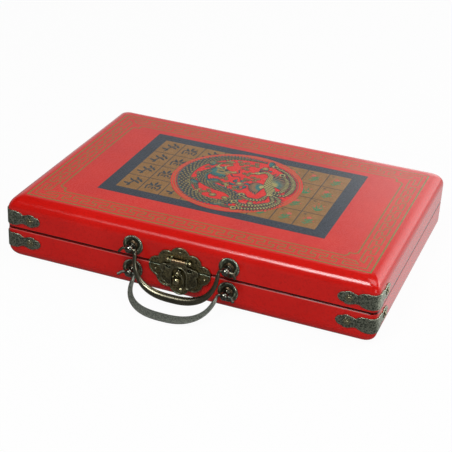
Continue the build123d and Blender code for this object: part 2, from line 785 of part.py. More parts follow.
def hasp_outline():
    """The butterfly outline with a slot that is open at the bottom, on the plane of the sketch."""
    slot_arch = hasp_slot_top_drop + hasp_slot_half
    with BuildSketch(Plane.XY) as outline:
        with BuildLine():
            Line((-hasp_barrel_half, 0), (hasp_barrel_half, 0))
            for side in (-1, 1):
                shoulder, upper, pinch, lower, foot, wing_tip, toe, arch = [
                    (side * x, -drop)
                    for x, drop in (
                        hasp_shoulder,
                        hasp_upper_wing,
                        hasp_pinch,
                        hasp_lower_wing,
                        hasp_foot,
                        ((hasp_slot_half + hasp_foot[0]) / 2, hasp_wing_drop),
                        (hasp_slot_half, hasp_toe_drop),
                        (hasp_slot_half, slot_arch),
                    )
                ]
                neck = (side * hasp_barrel_half, -hasp_neck_drop)
                Line((side * hasp_barrel_half, 0), neck)
                Line(neck, shoulder)
                ThreePointArc(shoulder, upper, pinch)
                ThreePointArc(pinch, lower, foot)
                ThreePointArc(foot, wing_tip, toe)
                Line(toe, arch)
            ThreePointArc((-hasp_slot_half, -slot_arch), (0, -hasp_slot_top_drop), arch)
        make_face()
    return outline.sketch


with BuildPart() as hasp_flap:
    with BuildSketch(front_plane(hasp_back, hardware_x, hasp_hinge_z)):
        add(hasp_outline())
    extrude(amount=hasp_thickness + hasp_rim_height)
    with BuildSketch(front_plane(hasp_back + hasp_thickness, hardware_x, hasp_hinge_z)):
        add(hasp_outline())
        offset(amount=-hasp_rim_width, mode=Mode.REPLACE)
        with Locations(*[(side * hasp_eye_at, -hasp_eye_drop) for side in (-1, 1)]):
            rim_inset = hasp_rim_width / 2
            Ellipse(hasp_eye_half + rim_inset, hasp_eye_height + rim_inset, mode=Mode.SUBTRACT)
    extrude(amount=2 * hasp_rim_height, mode=Mode.SUBTRACT)
    with BuildSketch(front_plane(0, hardware_x, hasp_hinge_z)):
        with Locations(*[(side * hasp_eye_at, -hasp_eye_drop) for side in (-1, 1)]):
            Ellipse(hasp_eye_half, hasp_eye_height)
    extrude(amount=2 * hasp_hinge_stand_off, mode=Mode.SUBTRACT)
    with BuildSketch(Plane.YZ.offset(hardware_x)):
        with Locations((hasp_hinge_y, hasp_hinge_z)):
            Circle(hasp_barrel_radius)
    extrude(amount=hasp_barrel_half, both=True)
    with BuildSketch(Plane.YZ.offset(hardware_x)):
        with Locations((hasp_hinge_y, hasp_hinge_z)):
            Circle(hasp_pin_radius + hasp_pin_clearance)
    extrude(amount=2 * hasp_barrel_half, both=True, mode=Mode.SUBTRACT)
finish(hasp_flap, "hasp_flap")


def dome(plane, radius, height_of_centre):
    """A ball on that plane, flattened where it would go behind it."""
    with BuildPart() as ball:
        with Locations(plane.offset(height_of_centre)):
            Sphere(radius)
        split(bisect_by=plane, keep=Keep.TOP)
    return ball.part


hook_plane = front_plane(hook_back, hardware_x, hook_pivot_rise)
hook_tip = (hook_tip_offset, hook_tip_rise - hook_pivot_rise)
hook_middle = hook_tip[1] / 2 + hook_half_width

with BuildPart() as turn_hook:
    with BuildSketch(hook_plane):
        Circle(hook_eye_radius)
        with BuildLine():
            ThreePointArc(
                (hook_half_width, hook_eye_radius - hook_half_width / 2),
                (hook_bow + hook_half_width, hook_middle),
                (hook_tip[0] + hook_half_width, hook_tip[1]),
            )
            Line(
                (hook_tip[0] + hook_half_width, hook_tip[1]),
                (hook_tip[0] - hook_half_width, hook_tip[1]),
            )
            ThreePointArc(
                (hook_tip[0] - hook_half_width, hook_tip[1]),
                (hook_bow - hook_half_width, hook_middle),
                (hook_half_width, -hook_half_width),
            )
            Line(
                (hook_half_width, -hook_half_width),
                (hook_half_width, hook_eye_radius - hook_half_width / 2),
            )
        make_face()
    extrude(amount=hook_thickness)
    knob_plane = front_plane(hook_back, hardware_x + hook_tip[0], hook_tip_rise)
    add(dome(knob_plane, hook_ball_radius, hook_thickness / 2))
    with BuildSketch(hook_plane):
        Circle(hook_rivet_radius + hook_rivet_clearance)
    extrude(amount=2 * hook_thickness, mode=Mode.SUBTRACT)
finish(turn_hook, "turn_hook")

with BuildPart() as hook_rivet:
    with BuildSketch(hook_rivet_plane.offset(axial_gap)):
        Circle(latch_shank_radius)
    extrude(amount=-(axial_gap + latch_shank_length - drive_clearance))
    with BuildSketch(hook_rivet_plane.offset(plate_seat_gap)):
        Circle(hook_eye_radius)
    extrude(amount=hook_back - plate_thickness - plate_seat_gap - axial_gap)
    with BuildSketch(hook_rivet_plane):
        Circle(hook_rivet_radius)
    extrude(amount=hook_back + hook_thickness + axial_gap)
    head_plane = front_plane(hook_back + hook_thickness + axial_gap, hardware_x, hook_pivot_rise)
    add(dome(head_plane, hook_rivet_ball_radius, hook_rivet_ball_radius / 3))
finish(hook_rivet, "hook_rivet")

with BuildPart() as staple_post:
    with BuildSketch(staple_plane.offset(staple_collar_height)):
        Circle(latch_shank_radius)
    extrude(amount=-(staple_collar_height + latch_shank_length - drive_clearance))
    with BuildSketch(staple_plane.offset(plate_seat_gap)):
        Circle(staple_collar_radius)
    extrude(amount=staple_collar_height)
    with BuildSketch(staple_plane.offset(plate_seat_gap)):
        Circle(staple_neck_radius)
    extrude(amount=staple_ball_stand_off - plate_thickness)
    with Locations(staple_plane.offset(staple_ball_stand_off - plate_thickness)):
        Sphere(staple_ball_radius)
finish(staple_post, "staple_post")

with BuildPart() as latch_stud:
    with BuildSketch(stud_plane.offset(stud_stand_off - plate_thickness)):
        Circle(latch_shank_radius)
    extrude(amount=-(stud_stand_off - plate_thickness + latch_shank_length - drive_clearance))
    with Locations(stud_plane.offset(stud_stand_off - plate_thickness)):
        Sphere(stud_ball_radius)
finish(latch_stud, "latch_stud")


# ---- back hinges -----------------------------------------------------------------------------------
knuckle_length = hinge_width / 3


def knuckle_spans(direction):
    """The x spans, from the hinge's middle, of the lid's knuckle (1) or of the base's two (-1)."""
    half_gap = hinge_knuckle_gap / 2
    if direction == 1:
        return [(-knuckle_length / 2 + half_gap, knuckle_length / 2 - half_gap)]
    outer = hinge_width / 2
    inner = knuckle_length / 2 + half_gap
    return [(-outer, -inner), (inner, outer)]


def hinge_leaf(direction, x):
    """A flat leaf on the back face, curled round the pin by its knuckles."""
    leaf_z = seam_z + direction * (hinge_leaf_gap + hinge_leaf_height / 2)
    with BuildPart() as leaf:
        with BuildSketch(back_plane(plate_seat_gap, x, leaf_z)):
            Rectangle(hinge_width, hinge_leaf_height)
        extrude(amount=hinge_leaf_thickness)
        for low, high in knuckle_spans(direction):
            with BuildSketch(Plane.YZ.offset(x + low)):
                with Locations((hinge_axis_y, seam_z)):
                    Circle(hinge_knuckle_radius)
                web_low = seam_z + direction * hinge_leaf_gap
                web_high = seam_z + direction * hinge_knuckle_radius
                Polygon(
                    (back_y + plate_seat_gap, web_low),
                    (hinge_axis_y, web_low),
                    (hinge_axis_y, web_high),
                    (back_y + plate_seat_gap, web_high),
                    align=None,
                )
            extrude(amount=high - low)
        with BuildSketch(Plane.YZ.offset(x)):
            with Locations((hinge_axis_y, seam_z)):
                Circle(hinge_pin_radius + hinge_pin_clearance)
        extrude(amount=hinge_width, both=True, mode=Mode.SUBTRACT)
        drill(hinge_screw_planes(direction), hinge_screw_radius + drive_clearance, hinge_screw_length)
    return leaf


def hinge_screws(direction):
    """The screws of one tray's two leaves: round heads on the leaf and shanks into the back board."""
    with BuildPart() as screws:
        for plane in hinge_screw_planes(direction):
            with BuildSketch(plane.offset(plate_seat_gap)):
                Circle(hinge_screw_head_radius)
            extrude(amount=hinge_screw_head_height, taper=round_head_taper)
            with BuildSketch(plane.offset(hinge_screw_head_height / 2)):
                Circle(hinge_screw_radius)
            extrude(amount=-(hinge_screw_length + hinge_screw_head_height / 2 - drive_clearance))
    return screws


for side, side_name in ((-1, "left"), (1, "right")):
    hinge_x = side * hinge_spacing / 2
    finish(hinge_leaf(1, hinge_x), f"lid_hinge_leaf_{side_name}")
    finish(hinge_leaf(-1, hinge_x), f"base_hinge_leaf_{side_name}")
    with BuildPart() as hinge_pin:
        with BuildSketch(Plane.YZ.offset(hinge_x)):
            with Locations((hinge_axis_y, seam_z)):
                Circle(hinge_pin_radius)
        extrude(amount=hinge_width / 2 + axial_gap, both=True)
        for end in (-1, 1):
            with BuildSketch(Plane.YZ.offset(hinge_x + end * (hinge_width / 2 + axial_gap))):
                with Locations((hinge_axis_y, seam_z)):
                    Circle(hinge_pin_head_radius)
            extrude(amount=end * hinge_pin_head_height)
    finish(hinge_pin, f"hinge_pin_{side_name}")
finish(hinge_screws(1), "lid_hinge_screws")
finish(hinge_screws(-1), "base_hinge_screws")

print(f"case {case_width} x {case_depth} x {lid_top_z:.1f}")
print(f"lid hinge y {hinge_axis_y:.2f} z {seam_z:.2f}")
print(f"bail pivots y {bail_axis_y:.2f}, z {lid_post_z:.2f} and {base_post_z:.2f}")
print(f"the base's bail leans {base_bail_lean:.2f} degrees")
print(f"hasp hinge y {hasp_hinge_y:.2f} z {hasp_hinge_z:.2f}, hook pivot z {hook_pivot_rise:.2f}")
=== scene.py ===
"""A flat hinged mahjong case in red leather, with a printed lid and antique bronze fittings.

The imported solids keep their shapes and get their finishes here.  The lid's printed border and picture are
thin films of ink on the leather.  Lengths are in millimetres until a mesh is made, with +X to the right,
+Y to the back and +Z up, and the print's films are drawn flat on the lid's top.
"""
from math import cos, pi, radians, sin, tau

import bpy
import numpy as np
from mathutils import Matrix, Vector


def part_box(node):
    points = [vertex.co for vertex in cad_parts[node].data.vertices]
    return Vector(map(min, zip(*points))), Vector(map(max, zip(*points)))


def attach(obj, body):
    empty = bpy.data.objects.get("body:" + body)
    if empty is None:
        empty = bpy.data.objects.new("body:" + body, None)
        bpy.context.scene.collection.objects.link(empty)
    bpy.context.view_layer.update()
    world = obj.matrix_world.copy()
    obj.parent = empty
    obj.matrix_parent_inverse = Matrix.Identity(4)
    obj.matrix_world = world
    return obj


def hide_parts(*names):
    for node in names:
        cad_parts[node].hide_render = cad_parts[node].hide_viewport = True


MM = 0.001
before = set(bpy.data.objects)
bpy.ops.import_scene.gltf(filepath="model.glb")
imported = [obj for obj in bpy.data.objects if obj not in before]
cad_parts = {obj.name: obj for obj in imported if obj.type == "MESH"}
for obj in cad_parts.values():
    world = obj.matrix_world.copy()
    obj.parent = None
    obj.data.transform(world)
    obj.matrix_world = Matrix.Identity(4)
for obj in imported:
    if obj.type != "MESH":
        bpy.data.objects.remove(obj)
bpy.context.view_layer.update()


# ---- materials -------------------------------------------------------------------------------------
# a Mix node's sockets, by number because its names repeat: the colours and their result, then the numbers
FACTOR, FIRST, SECOND, MIXED = 0, 6, 7, 2
FIRST_NUMBER, SECOND_NUMBER = 2, 3


def colour(code):
    """An sRGB hex colour as linear red, green, blue and alpha."""
    parts = [int(code[i:i + 2], 16) / 255 for i in (1, 3, 5)]
    return [c / 12.92 if c <= 0.04045 else ((c + 0.055) / 1.055) ** 2.4 for c in parts] + [1.0]


def add(tree, kind, links=None, output=0, **settings):
    """Add one shader node and give its output socket.

    links maps each input to a value, a hex colour or another node's socket, and settings are the node's own.
    """
    made = tree.nodes.new("ShaderNode" + kind)
    for name, value in settings.items():
        setattr(made, name, value)
    for name, value in (links or {}).items():
        if isinstance(value, bpy.types.NodeSocket):
            tree.links.new(value, made.inputs[name])
        else:
            made.inputs[name].default_value = colour(value) if isinstance(value, str) else value
    return made.outputs[output] if made.outputs else None


def start_material(name):
    """An empty material: its tree, its surface shader's inputs and the place of each point in millimetres."""
    material = bpy.data.materials.new(name)
    material.use_nodes = True
    tree = material.node_tree
    tree.nodes.clear()
    surface = add(tree, "BsdfPrincipled")
    add(tree, "OutputMaterial", {"Surface": surface})
    place = add(tree, "Mapping", {"Vector": add(tree, "TexCoord", output="Object"), "Scale": (1 / MM,) * 3})
    return material, tree, surface.node.inputs, place


def leather_grain(tree, place):
    """The pressed grain's height, and the fine creases in it.

    Its rounded pebbles are about 0.9 mm across, a little coarser than in real leather, so that they show.
    """
    warp = add(tree, "TexNoise", {"Vector": place, "Scale": 1 / 3.0})
    bent = add(tree, "VectorMath", {0: place, 1: warp}, operation="ADD")
    pebbles = add(tree, "TexVoronoi", {"Vector": bent, "Scale": 1 / 0.9}, "Distance", feature="SMOOTH_F1")
    creases = add(tree, "TexNoise", {"Vector": place, "Scale": 1 / 0.35, "Detail": 3.0, "Roughness": 0.6})
    return add(tree, "Math", {0: pebbles, 1: creases}, operation="ADD"), creases


SEAM_MIDDLE = (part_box("base_leather")[1].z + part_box("lid_leather")[0].z) / 2 / MM
RIM_HIGHLIGHT = 1.1, 0.35               # painted highlight, a pale line on the base's rounded rim: how far below the seam, and half its width
RIM_SEAM_SHADE = -0.5, 1.2               # painted shade, a dark band over the seam and the lid's rim, in the same way
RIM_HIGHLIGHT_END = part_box("base_leather")[1].x / MM - 2.0    # the painted highlight ends here, short of the right side,
RIM_HIGHLIGHT_FADE = 8.0                    # and fades over this length before its end
RIM_LEVEL, RIM_TURNED = 0.995, 0.9   # the painted shade sets in as the upward part of a face's normal falls so far


def coated_leather():
    """Split leather with a pigmented, pressed coat: saturated red, a fine grain and a soft broad gloss.

    A painted highlight runs pale along the base's rounded rim a little below the seam, except on the right
    side, and painted shade darkens both rims at the seam itself, on their outer faces only.
    """
    material, tree, surface, place = start_material("coated_leather")
    patches = add(tree, "TexNoise", {"Vector": place, "Scale": 1 / 60.0, "Detail": 3.0})
    patches = add(tree, "MapRange", {"Value": patches, "From Min": 0.35, "From Max": 0.65})
    base = add(tree, "Mix", {FACTOR: patches, FIRST: "#bf130d", SECOND: "#c81711"}, MIXED, data_type="RGBA")
    specks = add(tree, "TexNoise", {"Vector": place, "Scale": 1 / 1.8, "Detail": 4.0, "Roughness": 0.7})
    specks = add(tree, "MapRange", {"Value": specks, "From Min": 0.5, "From Max": 0.68, "To Max": 0.55})
    base = add(tree, "Mix", {FACTOR: specks, FIRST: base, SECOND: "#a00c08"}, MIXED, data_type="RGBA")
    height, creases = leather_grain(tree, place)
    up = add(tree, "SeparateXYZ", {"Vector": place}, "Z")
    below = add(tree, "Math", {0: SEAM_MIDDLE, 1: up}, operation="SUBTRACT")
    # painted highlight: a pale line on the base's rounded rim a little below the seam, broken up by the creases
    # and faded before the right side
    wear_and_highlight = add(tree, "Math", {0: below, 1: RIM_HIGHLIGHT[0], 2: RIM_HIGHLIGHT[1]}, operation="COMPARE")
    patchy = add(tree, "MapRange", {"Value": creases, "From Min": 0.3, "From Max": 0.6,
                                    "To Min": 0.08, "To Max": 0.3})
    wear_and_highlight = add(tree, "Math", {0: wear_and_highlight, 1: patchy}, operation="MULTIPLY")
    sideways = add(tree, "SeparateXYZ", {"Vector": place}, "X")
    faded = add(tree, "MapRange", {"Value": sideways, "From Min": RIM_HIGHLIGHT_END,
                                   "From Max": RIM_HIGHLIGHT_END - RIM_HIGHLIGHT_FADE})
    wear_and_highlight = add(tree, "Math", {0: wear_and_highlight, 1: faded}, operation="MULTIPLY")
    base = add(tree, "Mix", {FACTOR: wear_and_highlight, FIRST: base, SECOND: "#d9a39c"}, MIXED, data_type="RGBA")
    # painted shade: the seam and the lid's rim darkened almost to black on their outer faces, for the shade in
    # the gap
    seam_shade = add(tree, "Math", {0: below, 1: RIM_SEAM_SHADE[0], 2: RIM_SEAM_SHADE[1]}, operation="COMPARE")
    level = add(tree, "SeparateXYZ", {"Vector": add(tree, "TexCoord", output="Normal")}, "Z")
    level = add(tree, "Math", {0: level}, operation="ABSOLUTE")
    upright = add(tree, "MapRange", {"Value": level, "From Min": RIM_LEVEL, "From Max": RIM_TURNED})
    seam_shade = add(tree, "Math", {0: seam_shade, 1: upright}, operation="MULTIPLY")
    base = add(tree, "Mix", {FACTOR: seam_shade, FIRST: base, SECOND: "#120403"}, MIXED, data_type="RGBA")
    gloss = add(tree, "MapRange", {"Value": creases, "From Min": 0.3, "From Max": 0.7,
                                   "To Min": 0.13, "To Max": 0.22})
    tree.links.new(base, surface["Base Color"])
    tree.links.new(gloss, surface["Roughness"])
    bump = add(tree, "Bump", {"Strength": 0.35, "Distance": 0.05 * MM, "Height": height})
    tree.links.new(bump, surface["Normal"])
    surface["IOR"].default_value = 1.45
    return material


EDGE_RADIUS = 0.6                    # an edge is rubbed within this of its corner
HOLLOW_REACH = 3.5                   # a hollow gets patina and painted shade where a wall stands within this


def antique_bronze(name, dark, mid, wear_and_highlight, wear, grit, gloss, patch):
    """Bronze browned with acid and rubbed back: bright on edges and high spots, and dark in its hollows,
    partly with patina and partly with painted shade.

    wear is how far the edges are rubbed and grit how rough the surface is, both up to 1.  gloss is about the
    middle of the roughness, and patch the size of the patina's patches in millimetres.
    """
    material, tree, surface, place = start_material(name)
    mottle = add(tree, "TexNoise", {"Vector": place, "Scale": 1 / patch, "Detail": 5.0, "Roughness": 0.6})
    fine = add(tree, "TexNoise", {"Vector": place, "Scale": 1 / 0.45, "Detail": 3.0, "Roughness": 0.6})
    patches = add(tree, "MapRange", {"Value": mottle, "From Min": 0.38, "From Max": 0.62})
    base = add(tree, "Mix", {FACTOR: patches, FIRST: dark, SECOND: mid}, MIXED, data_type="RGBA")
    flat = add(tree, "NewGeometry", output="Normal")
    rounded = add(tree, "Bevel", {"Radius": EDGE_RADIUS * MM}, samples=4)
    facing = add(tree, "VectorMath", {0: flat, 1: rounded}, "Value", operation="DOT_PRODUCT")
    edge = add(tree, "MapRange", {"Value": facing, "From Min": 0.999, "From Max": 0.9, "To Max": wear})
    worn = add(tree, "MapRange", {"Value": fine, "From Min": 0.3, "From Max": 0.6, "To Min": 0.5})
    edge = add(tree, "Math", {0: edge, 1: worn}, operation="MULTIPLY")
    base = add(tree, "Mix", {FACTOR: edge, FIRST: base, SECOND: wear_and_highlight}, MIXED, data_type="RGBA")
    # painted shade: hollows darkened almost to black where walls stand near, partly for their patina and partly
    # for the shade there
    open_sky = add(tree, "AmbientOcclusion", {"Distance": HOLLOW_REACH * MM}, "AO", samples=4)
    hollow_patina_and_shade = add(tree, "MapRange", {"Value": open_sky, "From Min": 0.72, "From Max": 0.25, "To Max": 0.92})
    base = add(tree, "Mix", {FACTOR: hollow_patina_and_shade, FIRST: base, SECOND: "#0d0c09"}, MIXED, data_type="RGBA")
    tree.links.new(base, surface["Base Color"])
    polish = add(tree, "MapRange", {"Value": mottle, "From Min": 0.3, "From Max": 0.7,
                                    "To Min": gloss + 0.1, "To Max": gloss - 0.08})
    tree.links.new(polish, surface["Roughness"])
    bump = add(tree, "Bump", {"Strength": grit, "Distance": 0.08 * MM, "Height": fine, "Normal": rounded})
    tree.links.new(bump, surface["Normal"])
    surface["Metallic"].default_value = 1.0
    return material


def planed_beech():
    """Bare planed beech: pale brown with short dark flecks along the grain."""
    material, tree, surface, place = start_material("planed_beech")
    stretched = add(tree, "Mapping", {"Vector": place, "Scale": (0.06, 1.0, 1.0)})
    bands = add(tree, "TexNoise", {"Vector": stretched, "Scale": 1 / 9.0, "Detail": 4.0})
    bands = add(tree, "MapRange", {"Value": bands, "From Min": 0.35, "From Max": 0.65})
    base = add(tree, "Mix", {FACTOR: bands, FIRST: "#c79b6a", SECOND: "#b98a5a"}, MIXED, data_type="RGBA")
    flecks = add(tree, "TexNoise", {"Vector": stretched, "Scale": 1 / 0.8, "Detail": 3.0, "Roughness": 0.6})
    flecks = add(tree, "MapRange", {"Value": flecks, "From Min": 0.6, "From Max": 0.75, "To Max": 0.5})
    base = add(tree, "Mix", {FACTOR: flecks, FIRST: base, SECOND: "#8f6238"}, MIXED, data_type="RGBA")
    tree.links.new(base, surface["Base Color"])
    surface["Roughness"].default_value = 0.6
    return material


def flocked_velvet():
    """Velvet-like flock glued to card: deep red, matt, with a soft sheen at grazing angles."""
    material, tree, surface, place = start_material("flocked_velvet")
    nap = add(tree, "TexNoise", {"Vector": place, "Scale": 1 / 12.0, "Detail": 4.0, "Roughness": 0.6})
    nap = add(tree, "MapRange", {"Value": nap, "From Min": 0.35, "From Max": 0.65})
    base = add(tree, "Mix", {FACTOR: nap, FIRST: "#5d0d10", SECOND: "#7a1418"}, MIXED, data_type="RGBA")
    tree.links.new(base, surface["Base Color"])
    fibres = add(tree, "TexNoise", {"Vector": place, "Scale": 1 / 0.4, "Roughness": 0.7})
    bump = add(tree, "Bump", {"Strength": 0.5, "Distance": 0.1 * MM, "Height": fibres})
    tree.links.new(bump, surface["Normal"])
    surface["Roughness"].default_value = 0.95
    surface["Sheen Weight"].default_value = 0.6
    surface["Sheen Roughness"].default_value = 0.4
    return material


def screen_ink(name, first, second, size):
    """Screen-printed ink on the leather: one colour that drifts softly, over clouds of that size, to another.

    It follows the leather's grain below it and is a little less glossy than the leather.
    """
    material, tree, surface, place = start_material(name)
    cloudy = add(tree, "TexNoise", {"Vector": place, "Scale": 1 / size, "Detail": 4.0, "Roughness": 0.6})
    cloudy = add(tree, "MapRange", {"Value": cloudy, "From Min": 0.35, "From Max": 0.65})
    base = add(tree, "Mix", {FACTOR: cloudy, FIRST: first, SECOND: second}, MIXED, data_type="RGBA")
    tree.links.new(base, surface["Base Color"])
    height, creases = leather_grain(tree, place)
    rough = add(tree, "MapRange", {"Value": creases, "From Min": 0.3, "From Max": 0.7,
                                   "To Min": 0.22, "To Max": 0.32})
    tree.links.new(rough, surface["Roughness"])
    bump = add(tree, "Bump", {"Strength": 0.3, "Distance": 0.06 * MM, "Height": height})
    tree.links.new(bump, surface["Normal"])
    surface["IOR"].default_value = 1.45
    return material


RED_LEATHER = coated_leather()
# thin stampings look gritty and grey-green, turned and rubbed pieces smooth and bright, and the lower handle,
# cast in sand, is matt; the colours are the patina's dark and light patches and the rubbed edges
BRACKET_BRONZE = antique_bronze("stamped_bronze_bracket", "#4a5248", "#bfc4ae", "#e2f6dc", 0.8, 0.9, 0.42, 1.2)
NAIL_BRONZE = antique_bronze("cast_bronze_nail", "#6a6654", "#cac298", "#f4eecc", 0.6, 0.4, 0.34, 1.0)
PLATE_BRONZE = antique_bronze("stamped_bronze_plate", "#4c4834", "#b4a67a", "#cce4c6", 0.8, 0.8, 0.4, 1.5)
HASP_BRONZE = antique_bronze("stamped_bronze_hasp", "#4e4a3c", "#a09878", "#d4d2b0", 0.8, 0.6, 0.36, 1.8)
TURNED_BRONZE = antique_bronze("turned_bronze", "#7c7658", "#cfc79e", "#f6f0d0", 0.7, 0.1, 0.2, 1.5)
BARREL_BRONZE = antique_bronze("rubbed_copper_barrel", "#7c6a50", "#bca280", "#eedcc0", 0.7, 0.2, 0.28, 1.2)
POST_BRONZE = antique_bronze("darkened_bronze_post", "#4a4a42", "#96958a", "#dcdac8", 0.7, 0.1, 0.18, 1.5)
ROSETTE_BRONZE = antique_bronze("fluted_bronze_rosette", "#30342a", "#6a6c58", "#a4b0a0", 0.3, 0.1, 0.34, 1.2)
TOOTH_BRONZE = antique_bronze("rubbed_bronze_tooth", "#6c786c", "#aab4a4", "#dce8d8", 0.5, 0.1, 0.3, 1.2)
BOSS_BRONZE = antique_bronze("browned_bronze_boss", "#33291e", "#76614a", "#b8a888", 0.8, 0.2, 0.32, 1.2)
BAIL_BRONZE = antique_bronze("rubbed_bronze_bail", "#6a685a", "#888470", "#d8d4c0", 0.4, 0.0, 0.26, 14.0)
GRIP_BRONZE = antique_bronze("sand_cast_bronze_bail", "#363a36", "#8a8e84", "#acb0a4", 0.4, 1.0, 0.46, 0.6)
HINGE_BRONZE = antique_bronze("pressed_bronze_hinge", "#4f3d26", "#8a6f48", "#cbb078", 0.9, 0.3, 0.35, 2.0)
BEECH = planed_beech()
VELVET = flocked_velvet()
# the inks look flatter than the leather, and only the wide grounds show their soft clouds
GOLD_LINE_INK = screen_ink("olive_gold_line_ink", "#5c6a28", "#687632", 3.0)
SLATE_INK = screen_ink("slate_ink", "#1f2833", "#27303c", 20.0)
GOLD_PANEL_INK = screen_ink("gold_brown_panel_ink", "#7a5626", "#876030", 9.0)
FIELD_INK = screen_ink("red_field_ink", "#bc1f19", "#c42519", 40.0)
RED_INK = screen_ink("roundel_red_ink", "#c61812", "#cf1e16", 20.0)
NAVY_INK = screen_ink("navy_ink", "#15262f", "#1c2f3a", 3.0)
TEAL_INK = screen_ink("teal_ink", "#1f5a5a", "#2a6a66", 3.0)
GREEN_INK = screen_ink("leaf_green_ink", "#226c48", "#2c7850", 3.0)
BLOSSOM_INK = screen_ink("blossom_red_ink", "#b8483c", "#c25044", 3.0)
OLIVE_INK = screen_ink("olive_gold_figure_ink", "#766638", "#867244", 3.0)
PALE_GOLD_INK = screen_ink("pale_gold_figure_ink", "#968a50", "#a6985a", 3.0)
BROWN_INK = screen_ink("bronze_brown_ink", "#74553a", "#836244", 3.0)

# a node's finish is the first one here whose word is in its name
FINISHES = (
    ("leather", RED_LEATHER), ("sheet", RED_LEATHER), ("board", BEECH), ("panel", BEECH),
    ("lining", VELVET), ("bracket_nails", NAIL_BRONZE), ("bracket", BRACKET_BRONZE),
    ("rosette", ROSETTE_BRONZE), ("base_bail", GRIP_BRONZE), ("lid_bail", BAIL_BRONZE),
    ("latch_plate", PLATE_BRONZE), ("hasp_pin", TURNED_BRONZE), ("hasp_flap", HASP_BRONZE),
    ("turn_hook", TURNED_BRONZE), ("hinge", HINGE_BRONZE), ("staple_post", TURNED_BRONZE),
    ("hook_rivet", TURNED_BRONZE), ("latch_nails", TURNED_BRONZE), ("latch_stud", TURNED_BRONZE),
    ("_post_", POST_BRONZE),
)
BARREL_START = 36.6                  # the height at which the hasp's barrel begins


def dress_frame():
    """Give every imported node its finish."""
    for name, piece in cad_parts.items():
        finish = next(material for word, material in FINISHES if word in name)
        piece.data.materials.clear()
        piece.data.materials.append(finish)


def dress_barrel():
    """The hasp's barrel, its faces above the flap, rubbed brighter than the flap."""
    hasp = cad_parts["hasp_flap"].data
    hasp.materials.append(BARREL_BRONZE)
    middles = np.empty(len(hasp.polygons) * 3, np.float32)
    hasp.polygons.foreach_get("center", middles)
    hasp.polygons.foreach_set("material_index", (middles[2::3] / MM > BARREL_START).astype(np.int32))


dress_frame()
dress_barrel()


# ---- new pieces ------------------------------------------------------------------------------------
def new_piece(name, vertices, faces, *materials):
    """A mesh object at the origin, its vertices in metres."""
    mesh = bpy.data.meshes.new(name)
    mesh.from_pydata(vertices, [], faces)
    for material in materials:
        mesh.materials.append(material)
    mesh.update()
    piece = bpy.data.objects.new(name, mesh)
    bpy.context.scene.collection.objects.link(piece)
    return piece


# ---- fluted rosettes -------------------------------------------------------------------------------
FLUTES, FLUTE_STEPS = 36, 4          # round the rosette, and faces to each
FLUTE_DEPTH = 0.2                    # of the rosette's depth
RIDGE_FACES = 1, 2                   # of a flute's faces, the two beside its ridge
# the profile from the middle out, as shares of the radius, of the depth and of the flutes' depth
ROSETTE_PROFILE = np.array([
    (0.27, 0.0, 0.0), (0.27, 0.9, 0.0), (0.34, 1.0, 0.0), (0.43, 0.96, 0.0), (0.48, 0.66, 0.0),
    (0.54, 0.42, 0.0), (0.6, 0.6, 0.3), (0.68, 0.76, 1.0), (0.8, 0.74, 1.0), (0.9, 0.62, 1.0),
    (0.97, 0.46, 1.0), (1.0, 0.3, 0.8), (1.0, 0.0, 0.0),
])
BOSS_RINGS, TOOTH_RINGS = 5, 9       # the boss ends, and the ridges' rubbed teeth begin, at these rings


def rosette(node, body):
    """One rosette in a packed one's place: the profile turned about the post, its outer part fluted.

    At the angle a the height is h(r) - w(r) * FLUTE_DEPTH * |2 * frac(FLUTES * a / tau) - 1|, with h and w
    read from the profile, so the ridges and the furrows are both sharp.
    """
    low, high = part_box(node)
    centre = np.array([(low.x + high.x) / 2, high.y, (low.z + high.z) / 2])
    radius, depth = (high.x - low.x) / 2, high.y - low.y
    count = FLUTES * FLUTE_STEPS
    angle = tau * np.arange(count) / count
    furrow = np.abs(2 * (np.arange(count) % FLUTE_STEPS) / FLUTE_STEPS - 1)
    reach, height, fluted = (ROSETTE_PROFILE[:, [column]] for column in range(3))
    out = (height - fluted * FLUTE_DEPTH * furrow) * depth
    across = np.broadcast_to(reach * radius, out.shape)
    turned = np.stack([across * np.cos(angle), -out, across * np.sin(angle)], axis=-1)
    vertices = turned.reshape(-1, 3) + centre
    ring = np.arange(len(ROSETTE_PROFILE) - 1)[:, None] * count
    here, there = ring + np.arange(count), ring + (np.arange(count) + 1) % count
    faces = np.stack([here, there, there + count, here + count], axis=-1).reshape(-1, 4)
    piece = new_piece(f"{node}_fluted", vertices.tolist(), faces.tolist(),
                      ROSETTE_BRONZE, BOSS_BRONZE, TOOTH_BRONZE)
    index = np.arange(len(faces))
    boss = index < BOSS_RINGS * count
    tooth = (index >= TOOTH_RINGS * count) & np.isin(index % FLUTE_STEPS, RIDGE_FACES)
    piece.data.polygons.foreach_set("material_index", (boss + 2 * tooth).astype(np.int32))
    piece.data.update()
    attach(piece, body)
    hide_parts(node)


for tray in ("lid", "base"):
    for side in ("left", "right"):
        rosette(f"{tray}_rosette_{side}", tray)


# ---- films of ink ----------------------------------------------------------------------------------
LID_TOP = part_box("lid_leather")[1].z / MM
FILM = 0.035                         # each layer of ink stands this much above the one below
FILM_THICK = 1.4 * FILM              # and reaches into it
STAGGER, STAGGER_TOP = 0.001, 0.023  # strips of one layer differ by this, so one is on top where they cross


def unit(vectors):
    """The vectors along the last axis, each made one long."""
    return vectors / np.linalg.norm(vectors, axis=-1, keepdims=True)


def left_of(vectors):
    """The vectors turned a quarter turn to the left."""
    return np.stack([-vectors[..., 1], vectors[..., 0]], axis=-1)


